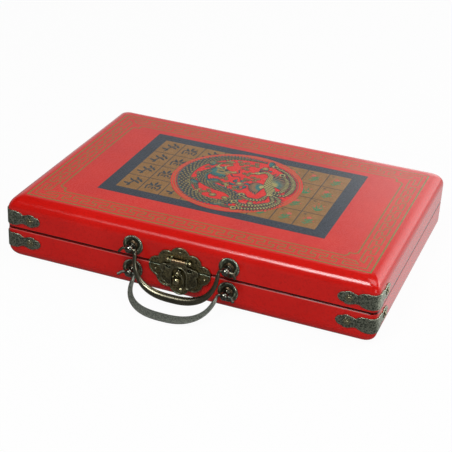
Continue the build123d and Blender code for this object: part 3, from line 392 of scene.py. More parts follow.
def smooth_path(points, samples):
    """A curve through the points: a cubic from each to the next, with slopes set by a point's neighbours."""
    points = np.asarray(points, float)
    padded = np.concatenate([[2 * points[0] - points[1]], points, [2 * points[-1] - points[-2]]])
    place = np.linspace(0, len(points) - 1 - 1e-9, samples)
    span = place.astype(int)
    t = (place - span)[:, None]
    a, b, c, d = (padded[span + shift] for shift in range(4))
    bends = (2 * a - 5 * b + 4 * c - d) * t ** 2 + (3 * b - a - 3 * c + d) * t ** 3
    return 0.5 * (2 * b + (c - a) * t + bends)


def along(values, samples):
    """The values spread evenly along a path and joined by straight runs."""
    return np.interp(np.linspace(0, 1, samples), np.linspace(0, 1, len(values)), values)


class Print:
    """One colour of one part of the print: strips of ink, at one layer's height, that become a single mesh."""

    def __init__(self, material, layer):
        self.material, self.layer = material, layer
        self.vertices, self.faces, self.count, self.strip_count = [], [], 0, 0

    def strips(self, left, right, closed=False):
        """Closed slabs between rows of points left and right of the way, of the shape (strips, points, 2)."""
        many, steps = left.shape[:2]
        top = LID_TOP + FILM * self.layer
        low = top - FILM_THICK
        rows = np.stack([left, right, right, left], axis=2)
        lift = STAGGER * (self.strip_count + np.arange(many)) % STAGGER_TOP
        heights = np.array([top, top, low, low]) + lift[:, None, None] + np.zeros(rows.shape[:3])
        points = np.concatenate([rows, heights[..., None]], axis=3).reshape(-1, 3)
        base = self.count + np.arange(many)[:, None, None] * steps * 4
        step = np.arange(steps if closed else steps - 1)[None, :, None]
        side = np.arange(4)[None, None, :]
        here, there = base + step * 4, base + (step + 1) % steps * 4
        quads = np.stack([here + side, here + (side + 1) % 4, there + (side + 1) % 4, there + side], axis=-1)
        self.faces.append(quads.reshape(-1, 4))
        if not closed:
            self.faces += [base[:, 0] + np.array([3, 2, 1, 0]), base[:, 0] + (steps - 1) * 4 + np.arange(4)]
        self.vertices.append(points)
        self.count += len(points)
        self.strip_count += many

    def line(self, path, width, closed=False):
        """A line of that width along straight runs, with mitred corners."""
        path = np.asarray(path, float)
        before = path - np.roll(path, 1, axis=0)
        after = np.roll(path, -1, axis=0) - path
        if not closed:
            before[0], after[-1] = after[0], before[-1]
        before, after = unit(before), unit(after)
        across = left_of(unit(before + after))
        stretch = np.minimum(2.0, 1 / np.sum(across * left_of(before), axis=1))
        offset = across * (stretch * width / 2)[:, None]
        self.strips((path + offset)[None], (path - offset)[None], closed)

    def ribbons(self, paths, half):
        """Ribbons along smooth paths of the shape (ribbons, points, 2), half as wide as half says."""
        paths = np.asarray(paths, float)
        paths = paths[None] if paths.ndim == 2 else paths
        offset = left_of(unit(np.gradient(paths, axis=1))) * np.broadcast_to(half, paths.shape[:2])[..., None]
        self.strips(paths + offset, paths - offset)

    def leaves(self, base, tip, half, bend=0.0, samples=8):
        """Pointed leaves from base to tip, half wide at most, bowed to the left by bend times their length.

        A leaf is half * sin(pi * t) ** 0.8 wide on each side, with t from its base to its tip.
        """
        base, tip = (np.atleast_2d(np.asarray(ends, float))[:, None] for ends in (base, tip))
        t = np.linspace(0.03, 0.97, samples)[None, :, None]
        paths = base + (tip - base) * t + left_of(tip - base) * 4 * bend * t * (1 - t)
        self.ribbons(paths, np.reshape(half, (-1, 1)) * np.sin(pi * t[..., 0]) ** 0.8)

    def discs(self, centres, radius, samples=14):
        """Round spots, each between an upper and a lower arc."""
        centres = np.atleast_2d(np.asarray(centres, float))[:, None]
        turn = np.linspace(pi - 0.12, 0.12, samples)[None, :, None]
        radius = np.reshape(radius, (-1, 1, 1))
        arc = np.concatenate([np.cos(turn), np.sin(turn)], axis=2) * radius
        self.strips(centres + arc, centres + arc * (1, -1))

    def build(self, name):
        """The piece of every strip, riding on the lid."""
        vertices, faces = np.concatenate(self.vertices) * MM, np.concatenate(self.faces)
        piece = new_piece(name, vertices.tolist(), faces.tolist(), self.material)
        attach(piece, "lid")


def rectangle(centre, half):
    """The four corners of a rectangle, anticlockwise."""
    signs = np.array([(-1, -1), (1, -1), (1, 1), (-1, 1)])
    return np.asarray(centre, float) + signs * np.asarray(half, float)


def block(ink, centre, half):
    """A filled rectangle."""
    corners = rectangle(centre, half)
    ink.strips(corners[[0, 3]][None], corners[[1, 2]][None])


# ---- border ----------------------------------------------------------------------------------------
BORDER_CENTRE = np.array([0.6, -1.2])
BORDER_HALF = np.array([156.8, 100.2])               # half the outer line's length and depth
OUTER_LINE, INNER_LINE, KEY_LINE = 1.25, 1.15, 0.95    # the widths of the two lines and the fret's
INNER_INSET = 18.4                    # from the outer line to the inner one
STEP_START, STEP_CORNER = 8.6, 6.6    # the inner line's stepped corner, from where its sides would meet
KEY_OUTER, KEY_MIDDLE, KEY_INNER = 4.8, 9.4, 13.8    # the fret's three rails, from the outer line
FRET_CORNER = 25.5                    # the fret's corner piece: where its outer rail ends
FRET_TIP, FRET_TURN = 13.0, 17.0      # its pointed tip, and where its inner rail begins
FRET_FIRST = 36.0                     # where the first inner rail ends
FRET_BACK, FRET_ADVANCE = 5.0, 9.2    # each rail starts this far back, and ends this much further on


def field():
    """The printed red ground inside the outer line, a little duller than the bare leather."""
    ink = Print(FIELD_INK, 0.5)
    block(ink, BORDER_CENTRE, BORDER_HALF)
    ink.build("field_print")


def fret_side(length):
    """Half fret corner, rails that overlap by turns, half fret corner: points of (distance along, inset).

    The number of advances is odd, so that both ends of the side are alike.
    """
    advances = 2 * round((length - 2 * FRET_FIRST + FRET_BACK) / FRET_ADVANCE / 2 - 0.5) + 1
    advance = (length - 2 * FRET_FIRST + FRET_BACK) / advances
    start = [(KEY_OUTER, KEY_OUTER), (FRET_CORNER, KEY_OUTER), (FRET_CORNER, KEY_MIDDLE),
             (FRET_TIP, KEY_MIDDLE), (FRET_TURN, KEY_INNER)]
    points, end = list(start), FRET_FIRST
    for rail in range(advances + 1):
        now, then = (KEY_INNER, KEY_OUTER) if rail % 2 == 0 else (KEY_OUTER, KEY_INNER)
        points += [(end, now), (end, KEY_MIDDLE), (end - FRET_BACK, KEY_MIDDLE), (end - FRET_BACK, then)]
        end += advance
    mirrored = [(length - along_side, inset) for along_side, inset in start[::-1]]
    return np.array(points + mirrored[:-1])


def border():
    """Two gold lines with a square fret between them, and stepped corners on the inner line."""
    ink = Print(GOLD_LINE_INK, 1)
    corners = rectangle(BORDER_CENTRE, BORDER_HALF)
    ink.line(corners, OUTER_LINE, closed=True)
    inner, fret = [], []
    for index in range(4):
        corner = corners[index]
        forward = unit(corners[(index + 1) % 4] - corner)
        backward = unit(corners[index - 1] - corner)
        length = np.linalg.norm(corners[(index + 1) % 4] - corner)
        side = fret_side(length)
        fret.append(corner + side[:, :1] * forward + side[:, 1:] * left_of(forward))
        # the inner line's corner: in round a quarter turn, to a point, and out in the mirrored way
        heart = corner + INNER_INSET * (forward + backward)
        round_off = STEP_START - STEP_CORNER
        turn = np.linspace(0, pi / 2, 5)[:, None]
        arc = np.concatenate([np.sin(turn), np.cos(turn)], axis=1) * round_off
        come_in = np.array([0, STEP_START]) + (arc - (0, round_off))
        steps = np.concatenate([come_in, [(STEP_CORNER, STEP_CORNER)], come_in[::-1, ::-1]])
        inner.append(heart + steps[:, :1] * forward + steps[:, 1:] * backward)
    ink.line(np.concatenate(inner), INNER_LINE, closed=True)
    ink.line(np.concatenate(fret), KEY_LINE, closed=True)
    ink.build("border_print")


# ---- tile panel ------------------------------------------------------------------------------------
BAND_CENTRE = np.array([-0.6, 4.4])
BAND_HALF = np.array([106.8, 67.55])                 # half the band's outer length and depth
PANEL_HALF = np.array([94.3, 55.5])                  # and those of the panel inside it
COLUMNS, ROWS = 9, 4
CELL_LINE = 0.75


def band_and_panel():
    """The slate band, and the gold-brown panel inside it with its dark cell lines."""
    band = Print(SLATE_INK, 1)
    inner, outer = (rectangle(BAND_CENTRE, half)[None] for half in (PANEL_HALF, BAND_HALF))
    band.strips(inner, outer, closed=True)
    band.build("band_print")
    panel = Print(GOLD_PANEL_INK, 1)
    block(panel, BAND_CENTRE, PANEL_HALF)
    panel.build("panel_print")
    lines = Print(NAVY_INK, 2)
    low, high = BAND_CENTRE - PANEL_HALF, BAND_CENTRE + PANEL_HALF
    for x in np.linspace(low[0], high[0], COLUMNS + 1)[1:-1]:
        lines.line([(x, low[1]), (x, high[1])], CELL_LINE)
    for y in np.linspace(low[1], high[1], ROWS + 1)[1:-1]:
        lines.line([(low[0], y), (high[0], y)], CELL_LINE)
    lines.build("cell_line_print")


def cells(column):
    """The middles of one column's cells."""
    low, high = BAND_CENTRE - PANEL_HALF, BAND_CENTRE + PANEL_HALF
    x = low[0] + (high[0] - low[0]) * (column + 0.5) / COLUMNS
    return [np.array([x, low[1] + (high[1] - low[1]) * (row + 0.5) / ROWS]) for row in range(ROWS)]


def bamboo(ink, middle):
    """A bold bamboo sprig: a bent stem with pairs of hanging leaves."""
    stem = smooth_path([(-2.4, -8.8), (-1.0, -2.0), (1.6, 4.0), (5.4, 8.0)], 14)
    ink.ribbons(middle + stem, along([0.8, 0.45], 14))
    pairs = ((3, (-6.2, 1.0), (-0.6, -4.8)), (7, (-5.4, 4.4), (5.8, -3.6)), (11, (-3.4, 4.6), (3.8, -4.4)))
    for index, *tips in pairs:
        for tip in tips:
            ink.leaves(middle + stem[index], middle + stem[index] + tip, 1.25, 0.12)


def lotus(ink, middle):
    """A bold lotus: a bud between curled petals, over a leaf with three ribs."""
    ink.leaves(middle + (0, 1.0), middle + (0.4, 9.2), 1.3)
    for side in (-1, 1):
        ink.leaves(middle + (0.6 * side, 0.8), middle + (5.2 * side, 6.2), 1.1, -0.15 * side)
        ink.ribbons(middle + smooth_path([(1.2 * side, 0.4), (6.2 * side, 0.2), (5.6 * side, -7.6)], 12), 0.7)
        ink.leaves(middle + (0.4 * side, -1.8), middle + (3.4 * side, -6.2), 0.8, 0.2 * side)
    ink.leaves(middle + (0, -1.6), middle + (0.2, -7.2), 0.8)


def sprig(petals, leaves, middle, turn):
    """A small blossom on a thin stem, with fine leaves in pairs up the stem."""
    flower = middle + np.array([2.6 * cos(turn), 4.4])
    angles = turn + np.arange(5) * tau / 5
    ray = np.stack([np.cos(angles), np.sin(angles)], axis=1)
    petals.leaves(flower + ray * 0.3, flower + ray * 2.7, 0.9)
    petals.discs(middle + np.array([(-4.4, 1.0 + sin(turn)), (4.8, -0.6)]), (0.9, 0.8), 8)
    stem = smooth_path([flower, middle + (0.6, -1.0), middle + (-1.2, -8.6)], 12)
    leaves.ribbons(stem, 0.4)
    for index, reach in ((4, 3.4), (6, 4.8), (8, 5.4), (10, 4.2)):
        side = 1 if index % 4 == 0 else -1
        leaves.leaves(stem[index], stem[index] + (side * reach, 1.6), 0.85, 0.15 * side)
        leaves.leaves(stem[index], stem[index] + (-side * reach * 0.7, 2.6), 0.6, -0.15 * side)


def orchid(petals, leaves, middle, turn):
    """Long grass leaves fanned from one root with small buds between them."""
    root = middle + np.array([-0.5, -8.0])
    heading = np.radians([48, 66, 84, 104, 128])
    length = np.array([8.5, 11.5, 14.5, 10.5, 8.0])[:, None]
    tips = root + np.stack([np.cos(heading), np.sin(heading)], axis=1) * length
    leaves.leaves(np.repeat(root[None], len(tips), axis=0), tips, 0.7, 0.14 * cos(turn))
    buds = middle + np.array([(2.8, -1.6), (-3.4, 0.4), (4.4, 3.4), (-1.2, 6.2)])
    petals.discs(buds, (1.15, 1.0, 0.9, 0.9), 8)


def tile_motifs():
    """Bamboo and lotus in navy on the left, sprigs and orchids in red and green on the right.

    The column between them lies under the roundel.  Each cell on the right also has a small navy mark.
    """
    navy, petals, leaves = Print(NAVY_INK, 2), Print(BLOSSOM_INK, 3), Print(GREEN_INK, 2)
    for column, motif in ((0, bamboo), (1, lotus), (2, bamboo), (3, lotus)):
        for middle in cells(column):
            motif(navy, middle)
    for column in (5, 6, 7, 8):
        for row, middle in enumerate(cells(column)):
            motif = orchid if (column + row) % 3 == 0 else sprig
            motif(petals, leaves, middle, 0.9 * row + column)
            navy.leaves(middle + (-7.6, 9.6), middle + (-4.6, 10.6), 0.8, samples=6)
    navy.build("navy_motif_print")
    petals.build("blossom_print")
    leaves.build("leaf_print")


# ---- roundel ---------------------------------------------------------------------------------------
ROUNDEL = np.array([0.4, 4.9])       # its middle
ROUNDEL_RADIUS = 60.5
RING_RADII = 58.7, 56.4
RING_WIDTH = 0.7
OUTLINE = 0.5                        # how far a figure's dark outline shows round its fill
CURL_SAMPLES, CURL_END = 22, 0.18    # the points of a spiral, and the share of its radius where it ends
SCALE_REACH, SCALE_HALF = 0.52, 0.25    # half a scale's length and width, as shares of its place on the body
LOOK_AHEAD = 0.2                     # which way a body goes is judged from this far ahead


def ring(ink, radius):
    """A closed ring of ink round the roundel's middle."""
    turn = np.linspace(0, tau, 120, endpoint=False)
    circle = np.stack([np.cos(turn), np.sin(turn)], axis=1)
    inner, outer = (ROUNDEL + circle * (radius + shift) for shift in (-RING_WIDTH / 2, RING_WIDTH / 2))
    ink.strips(inner[None], outer[None], closed=True)


def rays(first, last, count):
    """Directions spread evenly between two angles in degrees."""
    angle = np.radians(np.linspace(first, last, count))
    return np.stack([np.cos(angle), np.sin(angle)], axis=1)


def curl(centre, radius, start, turns):
    """A spiral path that winds in evenly from radius; a negative number of turns winds clockwise."""
    t = np.linspace(0, 1, CURL_SAMPLES)
    angle = radians(start) + tau * turns * t
    reach = radius * (1 - (1 - CURL_END) * t)
    return np.asarray(centre) + np.stack([np.cos(angle) * reach, np.sin(angle) * reach], axis=1)


def stations(path, half, spacing):
    """Places at that spacing along a body: the points, the ways forward and left, and the half widths."""
    lengths = np.concatenate([[0], np.cumsum(np.linalg.norm(np.diff(path, axis=0), axis=1))])
    stops = np.arange(spacing, lengths[-1] - spacing / 2, spacing)
    points, ahead = (np.stack([np.interp(stops + shift, lengths, path[:, axis]) for axis in (0, 1)], axis=1)
                     for shift in (0.0, LOOK_AHEAD))
    forward = unit(ahead - points)
    return points, forward, left_of(forward), np.interp(stops, lengths, half)[:, None]


def outlined(dark, fill, path, half):
    """A tapering ribbon with its dark outline below."""
    dark.ribbons(path, half + OUTLINE)
    fill.ribbons(path, half)


def scales(ink, path, half, spacing, rows, low=-0.85, high=0.85):
    """Rows of pointed scales along a body, between two shares of its half width.

    There are that many scales abreast, and every other row is set half a scale across.
    """
    points, forward, left, width = stations(path, half, spacing)
    for parity in (0, 1):
        pick = slice(parity, None, 2)
        shares = np.linspace(low, high, 2 * rows + 1)[parity::2]
        middle = points[pick, None] + (left[pick] * width[pick])[:, None] * shares[None, :, None]
        reach = (forward[pick] * spacing * SCALE_REACH)[:, None]
        size = width[pick] * (high - low) / rows * SCALE_HALF * np.ones_like(shares)
        root, tip = (end.reshape(-1, 2) for end in (middle - reach, middle + reach))
        ink.leaves(root, tip, size.reshape(-1), samples=5)


def bars(ink, path, half, spacing, low, high, stroke, lean):
    """Short bars across a body between two shares of its half width, each end ahead by lean times its share."""
    points, forward, left, width = stations(path, half, spacing)
    ends = [points + left * width * share + forward * lean * abs(share) for share in (low, high)]
    ink.ribbons(np.stack(ends, axis=1), stroke)


def spikes(ink, path, half, spacing, length, side):
    """Pointed fins along one side of a body, leaning back."""
    points, forward, left, width = stations(path, half, spacing)
    base = points + left * side * width * 0.85
    ink.leaves(base, base + left * side * length - forward * 0.6 * length, 0.32 * length, samples=6)


def cloud(dark, fill, centre, size, turn):
    """A cloud scroll: three spirals round a middle, each smaller than the one before."""
    for index, (scale, turns) in enumerate(((1.0, 1.25), (0.8, -1.2), (0.7, 1.2))):
        angle = turn + index * 120.0
        away = rays(angle, angle, 1)[0] * size * 0.75
        outlined(dark, fill, curl(centre + away, size * 0.62 * scale, angle + 150, turns),
                 along([0.14 * size, 0.11 * size, 0.06 * size], CURL_SAMPLES))


def blossom(dark, fill, heart, centre, size):
    """A round flower of six outlined petals."""
    ray = rays(15, 315, 6)
    dark.leaves(centre + ray * 0.2, centre + ray * (size + 0.6), 0.42 * size + 0.4)
    fill.leaves(centre + ray * 0.4, centre + ray * size, 0.36 * size)
    heart.discs(centre, 0.3 * size, 9)


def tongues(ink, root, first, last, count, near, far, half, bend=0.2):
    """A tuft of pointed tongues, as in flames, manes and feathers, from near long to far long."""
    ray = rays(first, last, count)
    ink.leaves(root + ray * 0.6, root + ray * np.linspace(near, far, count)[:, None], half, bend)


# the figures' points are from the roundel's middle, and their widths are half widths along the body
DRAGON_BACK = [(12, 50), (-8, 50), (-26, 44), (-40, 31), (-48, 13), (-48, -8), (-40, -27), (-26, -41),
               (-8, -46), (6, -41), (9, -30), (0, -22), (-14, -19), (-28, -12), (-35, 1), (-30, 13)]
DRAGON_HALF = [0.5, 2.2, 3.6, 4.5, 5.1, 5.4, 5.4, 5.1, 4.8, 4.4, 4.1, 4.0, 4.0, 3.9, 3.7, 3.4]
# each leg's hip, knee and foot, and the angle at which its claws begin
DRAGON_LEGS = (((-38, 28), (-29, 30), (-21, 36), 15), ((-43, -18), (-33, -21), (-27, -30), -110),
               ((-6, -43), (7, -50), (18, -47), -30), ((-25, -13), (-15, -7), (-8, -11), -60))


def dragon_head(dark, body, pale, teal, fine):
    """The dragon's head, which looks right: mane, jaws, brow, horns, whiskers and eye."""
    head = ROUNDEL + np.array([-21.0, 15.0])
    tongues(dark, head, 80, 290, 15, 10.4, 15.4, 1.7)
    tongues(teal, head, 80, 290, 15, 9.4, 14.2, 0.95)
    tongues(dark, head, 95, 275, 10, 6.8, 8.6, 1.1)
    outlined(dark, body, head + smooth_path([(-5, 1), (0, 2.4), (6, 1.2), (12, 2.0)], 16),
             along([2.4, 3.4, 2.3, 1.3], 16))
    outlined(dark, body, head + smooth_path([(-4, -3), (2, -4.4), (9, -5.4)], 12), along([1.8, 1.4, 0.7], 12))
    pale.leaves(head + (0.5, -2.0), head + (11, -2.0), 0.7)
    for horn in ([(-1, 5), (-7, 9), (-6, 16)], [(2, 5.4), (0, 11), (5, 16)]):
        outlined(dark, pale, head + smooth_path(horn, 12), along([0.9, 0.7, 0.3], 12))
    outlined(dark, pale, head + curl((11.5, 3.2), 2.3, 200, 1.1), along([0.6, 0.5, 0.3], CURL_SAMPLES))
    fine.ribbons(head + smooth_path([(-3.5, 3.4), (1, 5.4), (6.0, 4.2)], 10), 0.6)
    fine.discs(head + (3.6, 2.6), 1.5, 10)
    fine.leaves(head + (-3.0, -1.0), head + (3.0, -0.4), 0.7)
    for whisker in ([(11, 0), (16, 4), (14, 9), (18, 13)], [(10, -2), (14, -6), (19, -4), (22, -9)]):
        dark.ribbons(head + smooth_path(whisker, 20), along([0.8, 0.65, 0.3], 20))


def dragon():
    """A scaled dragon that coils round the left half towards the pearl."""
    path, half = ROUNDEL + smooth_path(DRAGON_BACK, 110), along(DRAGON_HALF, 110)
    dark, body, pale = Print(NAVY_INK, 4), Print(OLIVE_INK, 6), Print(PALE_GOLD_INK, 7)
    teal, fine = Print(TEAL_INK, 5), Print(NAVY_INK, 8)
    spikes(dark, path, half, 2.8, 3.2, -1)
    spikes(teal, path, half, 2.8, 2.2, -1)
    dark.ribbons(path, half + OUTLINE)
    scales(body, path, half, 3.1, 2, -0.8, 0.65)
    bars(pale, path, half, 3.1, 0.78, 0.98, 0.5, 0.5)
    for hip, knee, foot, first in DRAGON_LEGS:
        leg, thick = ROUNDEL + smooth_path([hip, knee, foot], 18), along([3.0, 2.2, 1.4], 18)
        tongues(dark, leg[6], first + 110, first + 220, 7, 6.0, 9.4, 1.1)
        tongues(teal, leg[6], first + 120, first + 215, 5, 5.0, 8.0, 0.6)
        dark.ribbons(leg, thick + OUTLINE)
        scales(body, leg, thick, 1.8, 2)
        tongues(dark, leg[-1], first, first + 130, 4, 6.4, 5.8, 1.0, 0.15)
        tongues(pale, leg[-1], first, first + 130, 4, 5.2, 4.6, 0.5, 0.15)
    tail = ROUNDEL + np.array([13.0, 49.5])
    tongues(dark, tail, -60, 60, 7, 8.6, 7.0, 1.2, 0.12)
    tongues(teal, tail, -60, 60, 7, 7.4, 5.8, 0.6, 0.12)
    dragon_head(dark, body, pale, teal, fine)
    for name, ink in (("outline", dark), ("scale", body), ("belly", pale), ("fin", teal), ("eye", fine)):
        ink.build(f"dragon_{name}_print")


# the neck runs from the head down to the tail, and each plume from the body to its eye
PHOENIX_NECK = [(12, 26), (18, 30), (24, 25), (26, 15), (29, 5), (34, -4), (37, -13)]
PHOENIX_HALF = [1.4, 1.8, 2.0, 2.8, 4.4, 4.4, 2.4]
PLUMES = ([(37, -10), (48, -20), (43, -35), (30, -45), (16, -50)],
          [(36, -11), (43, -24), (34, -36), (22, -41), (12, -38)],
          [(35, -8), (48, -8), (51, 8), (46, 24), (36, 37), (21, 46)],
          [(35, -7), (43, -2), (44, 10), (41, 22), (33, 32)],
          [(35, -12), (32, -24), (22, -28), (13, -22)])


def wing(dark, primary, covert, lesser, root, first, last, reach, bend):
    """A spread wing: long primaries, shorter coverts and a tuft of lesser feathers."""
    tongues(dark, root, first, last, 11, reach * 0.78, reach * 1.04, 2.2, bend)
    tongues(primary, root, first, last, 11, reach * 0.74, reach, 1.0, bend)
    tongues(dark, root, first + 4, last - 4, 11, reach * 0.52, reach * 0.68, 1.5, bend)
    tongues(covert, root, first + 4, last - 4, 11, reach * 0.46, reach * 0.62, 0.8, bend)
    tongues(lesser, root, first + 10, last - 10, 8, reach * 0.28, reach * 0.38, 0.6, bend)


def phoenix():
    """A phoenix on the right: a feathered body, two wings and long eyed plumes that sweep round the edge."""
    dark, gold, brown = Print(NAVY_INK, 4), Print(PALE_GOLD_INK, 7), Print(BROWN_INK, 5)
    teal, fine = Print(TEAL_INK, 6), Print(NAVY_INK, 8)
    wing(dark, brown, teal, gold, ROUNDEL + np.array([30, 7]), -25, 95, 26, 0.12)
    wing(dark, brown, teal, gold, ROUNDEL + np.array([27, 2]), 170, 262, 19, -0.12)
    for points in PLUMES:
        path, half = ROUNDEL + smooth_path(points, 50), along([1.0, 1.7, 2.0, 1.6, 0.9], 50)
        outlined(dark, gold, path, half)
        for side in (-1, 1):
            bars(fine, path, half, 2.8, 0.0, 1.05 * side, 0.62, 1.3)
            bars(dark, path, half, 2.8, 0.9 * side, 2.3 * side, 0.5, 2.0)
        eye = path[-1]
        for ink, radius in ((dark, 3.6), (gold, 2.9), (fine, 1.6)):
            ink.discs(eye, radius)
    neck, half = ROUNDEL + smooth_path(PHOENIX_NECK, 50), along(PHOENIX_HALF, 50)
    outlined(dark, gold, neck, half)
    scales(fine, neck, half, 2.2, 2, -0.8, 0.8)
    head = ROUNDEL + np.array([11.0, 25.6])
    dark.discs(head, 3.3)
    gold.discs(head, 2.5)
    fine.discs(head + (-0.6, 0.6), 0.9, 8)
    dark.leaves(head + (-1.5, -0.2), head + (-7.8, -4.0), 1.5, 0.15)
    gold.leaves(head + (-1.8, -0.3), head + (-6.6, -3.4), 0.7, 0.15)
    for tip in ((0.5, 9.6), (5.0, 10.4), (9.4, 9.0)):
        stalk = smooth_path([(0.6, 1.6), (tip[0] * 0.3, 5.0), tip], 12)
        dark.ribbons(head + stalk, along([0.9, 0.8, 0.4], 12))
        dark.discs(head + tip, 1.9, 9)
        teal.discs(head + tip, 1.2, 9)
    for name, ink in (("outline", dark), ("gold", gold), ("brown", brown), ("teal", teal), ("fine", fine)):
        ink.build(f"phoenix_{name}_print")


# each cloud's middle, size and turn in degrees, and each flower's middle and size
CLOUDS = (((-9, 40), 5.0, 30), ((3, 41), 4.4, 90), ((-20, 33), 3.6, 200), ((-3, 31), 4.0, 320),
          ((3, 20), 4.0, 60), ((13, 13), 4.4, 150), ((6, 8), 3.4, 250), ((4, -13), 4.2, 10),
          ((-13, 2), 3.6, 200), ((-22, -34), 3.4, 60), ((-39, 2), 2.4, 120), ((28, 18), 3.0, 0),
          ((-17, -29), 3.6, 100), ((-38, -10), 2.6, 60), ((-8, -8), 3.0, 300), ((16, -29), 3.0, 40),
          ((-36, 18), 2.4, 240))
BLOSSOMS = (((-10, -34), 3.4), ((2, -35), 3.0), ((26, -35), 2.8), ((14, 38), 3.4), ((28, 42), 2.8),
            ((-28, 22), 2.4))


def pearl_and_clouds():
    """The flaming pearl at the middle, and the clouds and flowers that fill the gaps."""
    dark, gold, olive = Print(NAVY_INK, 4), Print(PALE_GOLD_INK, 7), Print(OLIVE_INK, 6)
    teal, brown = Print(TEAL_INK, 5), Print(BROWN_INK, 6)
    pearl = ROUNDEL + np.array([4.0, -3.0])
    for first in (20, 80, 140, 200, 260, 320):
        root = pearl + rays(first, first, 1)[0] * 4.6
        tongues(dark, root, first - 35, first + 35, 3, 6.4, 4.6, 1.2, 0.25)
        tongues(teal, root, first - 35, first + 35, 3, 5.4, 3.7, 0.6, 0.25)
    dark.discs(pearl, 4.8, 20)
    brown.discs(pearl, 4.1, 20)
    gold.discs(pearl + (-0.8, 1.0), 1.8, 12)
    for centre, size, turn in CLOUDS:
        cloud(dark, olive, ROUNDEL + np.array(centre), size, turn)
    for centre, size in BLOSSOMS:
        blossom(dark, olive, gold, ROUNDEL + np.array(centre), size)
    for name, ink in (("outline", dark), ("gold", gold), ("olive", olive), ("flame", teal), ("pearl", brown)):
        ink.build(f"cloud_{name}_print")


def roundel():
    """The red disc over the panel's middle, with two thin gold rings and its figures."""
    disc = Print(RED_INK, 3)
    disc.discs(ROUNDEL, ROUNDEL_RADIUS, 90)
    disc.build("roundel_print")
    rings = Print(OLIVE_INK, 4)
    for radius in RING_RADII:
        ring(rings, radius)
    rings.build("ring_print")
    pearl_and_clouds()
    dragon()
    phoenix()


field()
border()
band_and_panel()
tile_motifs()
roundel()


# ---- stage, light and camera -----------------------------------------------------------------------
SURROUND_LIGHT = 0.12                 # the surround's strength as light
WALL_GLOW, CEILING_GLOW = 1.2, 0.06   # its strength in reflections, low down and high up
WALL_TOP = radians(22), radians(33)   # the wall fades into the ceiling between these angles above the horizon
# on the left and in front only this share of the wall's glow is left, and the whole comes back as the X part
# of the direction to the wall, or the Y part, goes from the first value to the second
WALL_LEFT, WALL_LEFT_FADE = 0.55, (-0.5, -0.15)
WALL_FRONT, WALL_FRONT_FADE = 0.08, (-0.2, 0.4)
FLOOR_SEEN = 0.96                     # how much of what is seen or mirrored of the floor is its own glow
FLOOR_MIRRORED = 0.14, 0.84           # that glow in reflections, in front of the case and behind it
FLOOR_WAY, FLOOR_FADE = (0.6, 1.0, 0.0), (0.0, 60.0)    # it changes while 0.6 x + y goes between these


def studio_white():
    """The floor: matt white paper, seen nearly white with the case's shadow kept.

    In reflections it is darker in front of the case.
    """
    material, tree, surface, place = start_material("matt_white_paper")
    surface["Base Color"].default_value = colour("#cfcfcf")
    surface["Roughness"].default_value = 0.9
    surface["Specular IOR Level"].default_value = 0.1
    ray = add(tree, "LightPath").node.outputs
    across = add(tree, "VectorMath", {0: place, 1: FLOOR_WAY}, "Value", operation="DOT_PRODUCT")
    behind = add(tree, "MapRange", {"Value": across, "From Min": FLOOR_FADE[0], "From Max": FLOOR_FADE[1],
                                    "To Min": FLOOR_MIRRORED[0], "To Max": FLOOR_MIRRORED[1]})
    strength = add(tree, "Math", {0: ray["Is Camera Ray"], 1: behind}, operation="MAXIMUM")
    glow = add(tree, "Emission", {"Color": "#ffffff", "Strength": strength})
    mirrored = add(tree, "Math", {0: ray["Is Glossy Ray"], 1: ray["Is Transmission Ray"]},
                   operation="MAXIMUM")
    seen = add(tree, "Math", {0: ray["Is Camera Ray"], 1: mirrored}, operation="MAXIMUM")
    share = add(tree, "Math", {0: seen, 1: FLOOR_SEEN}, operation="MULTIPLY")
    paper = tree.nodes["Principled BSDF"].outputs["BSDF"]
    mixed = add(tree, "MixShader", {0: share, 1: paper, 2: glow})
    tree.links.new(mixed, tree.nodes["Material Output"].inputs["Surface"])
    return material


FLOOR_REACH = 6.0                     # metres each way


def stage():
    """A wide floor at the height of the case's underside."""
    corners = np.zeros((4, 3))
    corners[:, :2] = rectangle((0, 0), (FLOOR_REACH, FLOOR_REACH))
    floor = new_piece("floor", corners.tolist(), [(0, 1, 2, 3)], studio_white())


def world_light():
    """The surround: plain white to the camera, and a weak soft light.

    In reflections it is a bright wall that fades into a dim ceiling, dimmer on the left and dark in front.
    """
    world = bpy.data.worlds.new("surround")
    bpy.context.scene.world = world
    world.use_nodes = True
    tree = world.node_tree
    tree.nodes.clear()
    ray = add(tree, "LightPath").node.outputs
    way = add(tree, "SeparateXYZ", {"Vector": add(tree, "TexCoord", output="Generated")}).node.outputs
    wall_top, ceiling = (sin(angle) for angle in WALL_TOP)
    wall = add(tree, "MapRange", {"Value": way["Z"], "From Min": wall_top, "From Max": ceiling,
                                  "To Min": WALL_GLOW, "To Max": CEILING_GLOW})
    for part, least, fade in (("X", WALL_LEFT, WALL_LEFT_FADE), ("Y", WALL_FRONT, WALL_FRONT_FADE)):
        dimmed = add(tree, "MapRange", {"Value": way[part], "From Min": fade[0], "From Max": fade[1],
                                        "To Min": least, "To Max": 1.0})
        wall = add(tree, "Math", {0: wall, 1: dimmed}, operation="MULTIPLY")
    mirrored = add(tree, "Math", {0: ray["Is Glossy Ray"], 1: ray["Is Transmission Ray"]},
                   operation="MAXIMUM")
    strength = add(tree, "Mix", {FACTOR: mirrored, FIRST_NUMBER: SURROUND_LIGHT, SECOND_NUMBER: wall})
    strength = add(tree, "Mix", {FACTOR: ray["Is Camera Ray"], FIRST_NUMBER: strength, SECOND_NUMBER: 1.0})
    back = add(tree, "Background", {"Color": "#ffffff", "Strength": strength})
    add(tree, "OutputWorld", {"Surface": back})


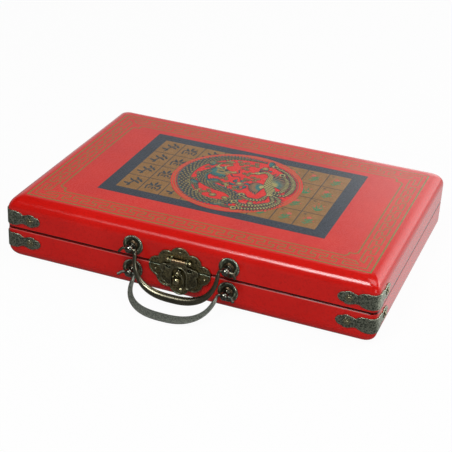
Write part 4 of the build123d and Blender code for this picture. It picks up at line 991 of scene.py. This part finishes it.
def softbox(name, place, aim, size, power):
    """A rectangular lamp at place that faces aim, all in metres, and its power in watts."""
    lamp = bpy.data.lights.new(name, "AREA")
    lamp.shape, lamp.size, lamp.size_y, lamp.energy = "RECTANGLE", size[0], size[1], power
    holder = bpy.data.objects.new(name, lamp)
    holder.location = place
    holder.rotation_euler = (Vector(aim) - Vector(place)).to_track_quat("-Z", "Y").to_euler()
    bpy.context.scene.collection.objects.link(holder)


CAMERA_PLACE = (0.34171, -0.93286, 0.54293)      # metres
CAMERA_AZIMUTH, CAMERA_ELEVATION, CAMERA_ROLL = radians(20.449), radians(27.959), radians(2.9285)
CAMERA_LENS, CAMERA_SENSOR = 96.50, 36.0


def camera():
    """The view from the front right and above, with its slight roll."""
    a, e, r = CAMERA_AZIMUTH, CAMERA_ELEVATION, CAMERA_ROLL
    back = Vector((sin(a) * cos(e), -cos(a) * cos(e), sin(e)))
    right = Vector((cos(a), sin(a), 0))
    up = back.cross(right)
    across = right * cos(r) + up * sin(r)
    upward = up * cos(r) - right * sin(r)
    data = bpy.data.cameras.new("camera")
    data.lens, data.sensor_width = CAMERA_LENS, CAMERA_SENSOR
    holder = bpy.data.objects.new("camera", data)
    turned = Matrix((across, upward, back)).transposed().to_4x4()
    holder.matrix_world = Matrix.Translation(CAMERA_PLACE) @ turned
    bpy.context.scene.collection.objects.link(holder)
    bpy.context.scene.camera = holder


stage()
world_light()
# the key and its fill put the soft light along the front's rounded edges, and the rest light the top and right
softbox("key_softbox", (-0.13, -0.84, 1.1), (0.05, -0.1, 0.05), (0.34, 0.44), 9.5)
softbox("key_fill_softbox", (-0.46, -0.8, 1.04), (-0.05, -0.1, 0.05), (0.3, 0.36), 1.0)
softbox("overhead_softbox", (0.6, 0.1, 1.5), (0.1, 0, 0.03), (1.0, 1.0), 11)
softbox("right_softbox", (1.1, 0.7, 0.6), (0.3, 0.2, 0.0), (0.8, 0.6), 6.5)
softbox("front_right_softbox", (0.9, -0.8, 0.4), (0.1, -0.1, 0.03), (0.5, 0.4), 1.8)
softbox("back_panel", (0.55, 1.6, 0.55), (0.1, 0, 0.3), (1.8, 1.0), 6)
camera()
bpy.context.scene.view_settings.view_transform = "Standard"
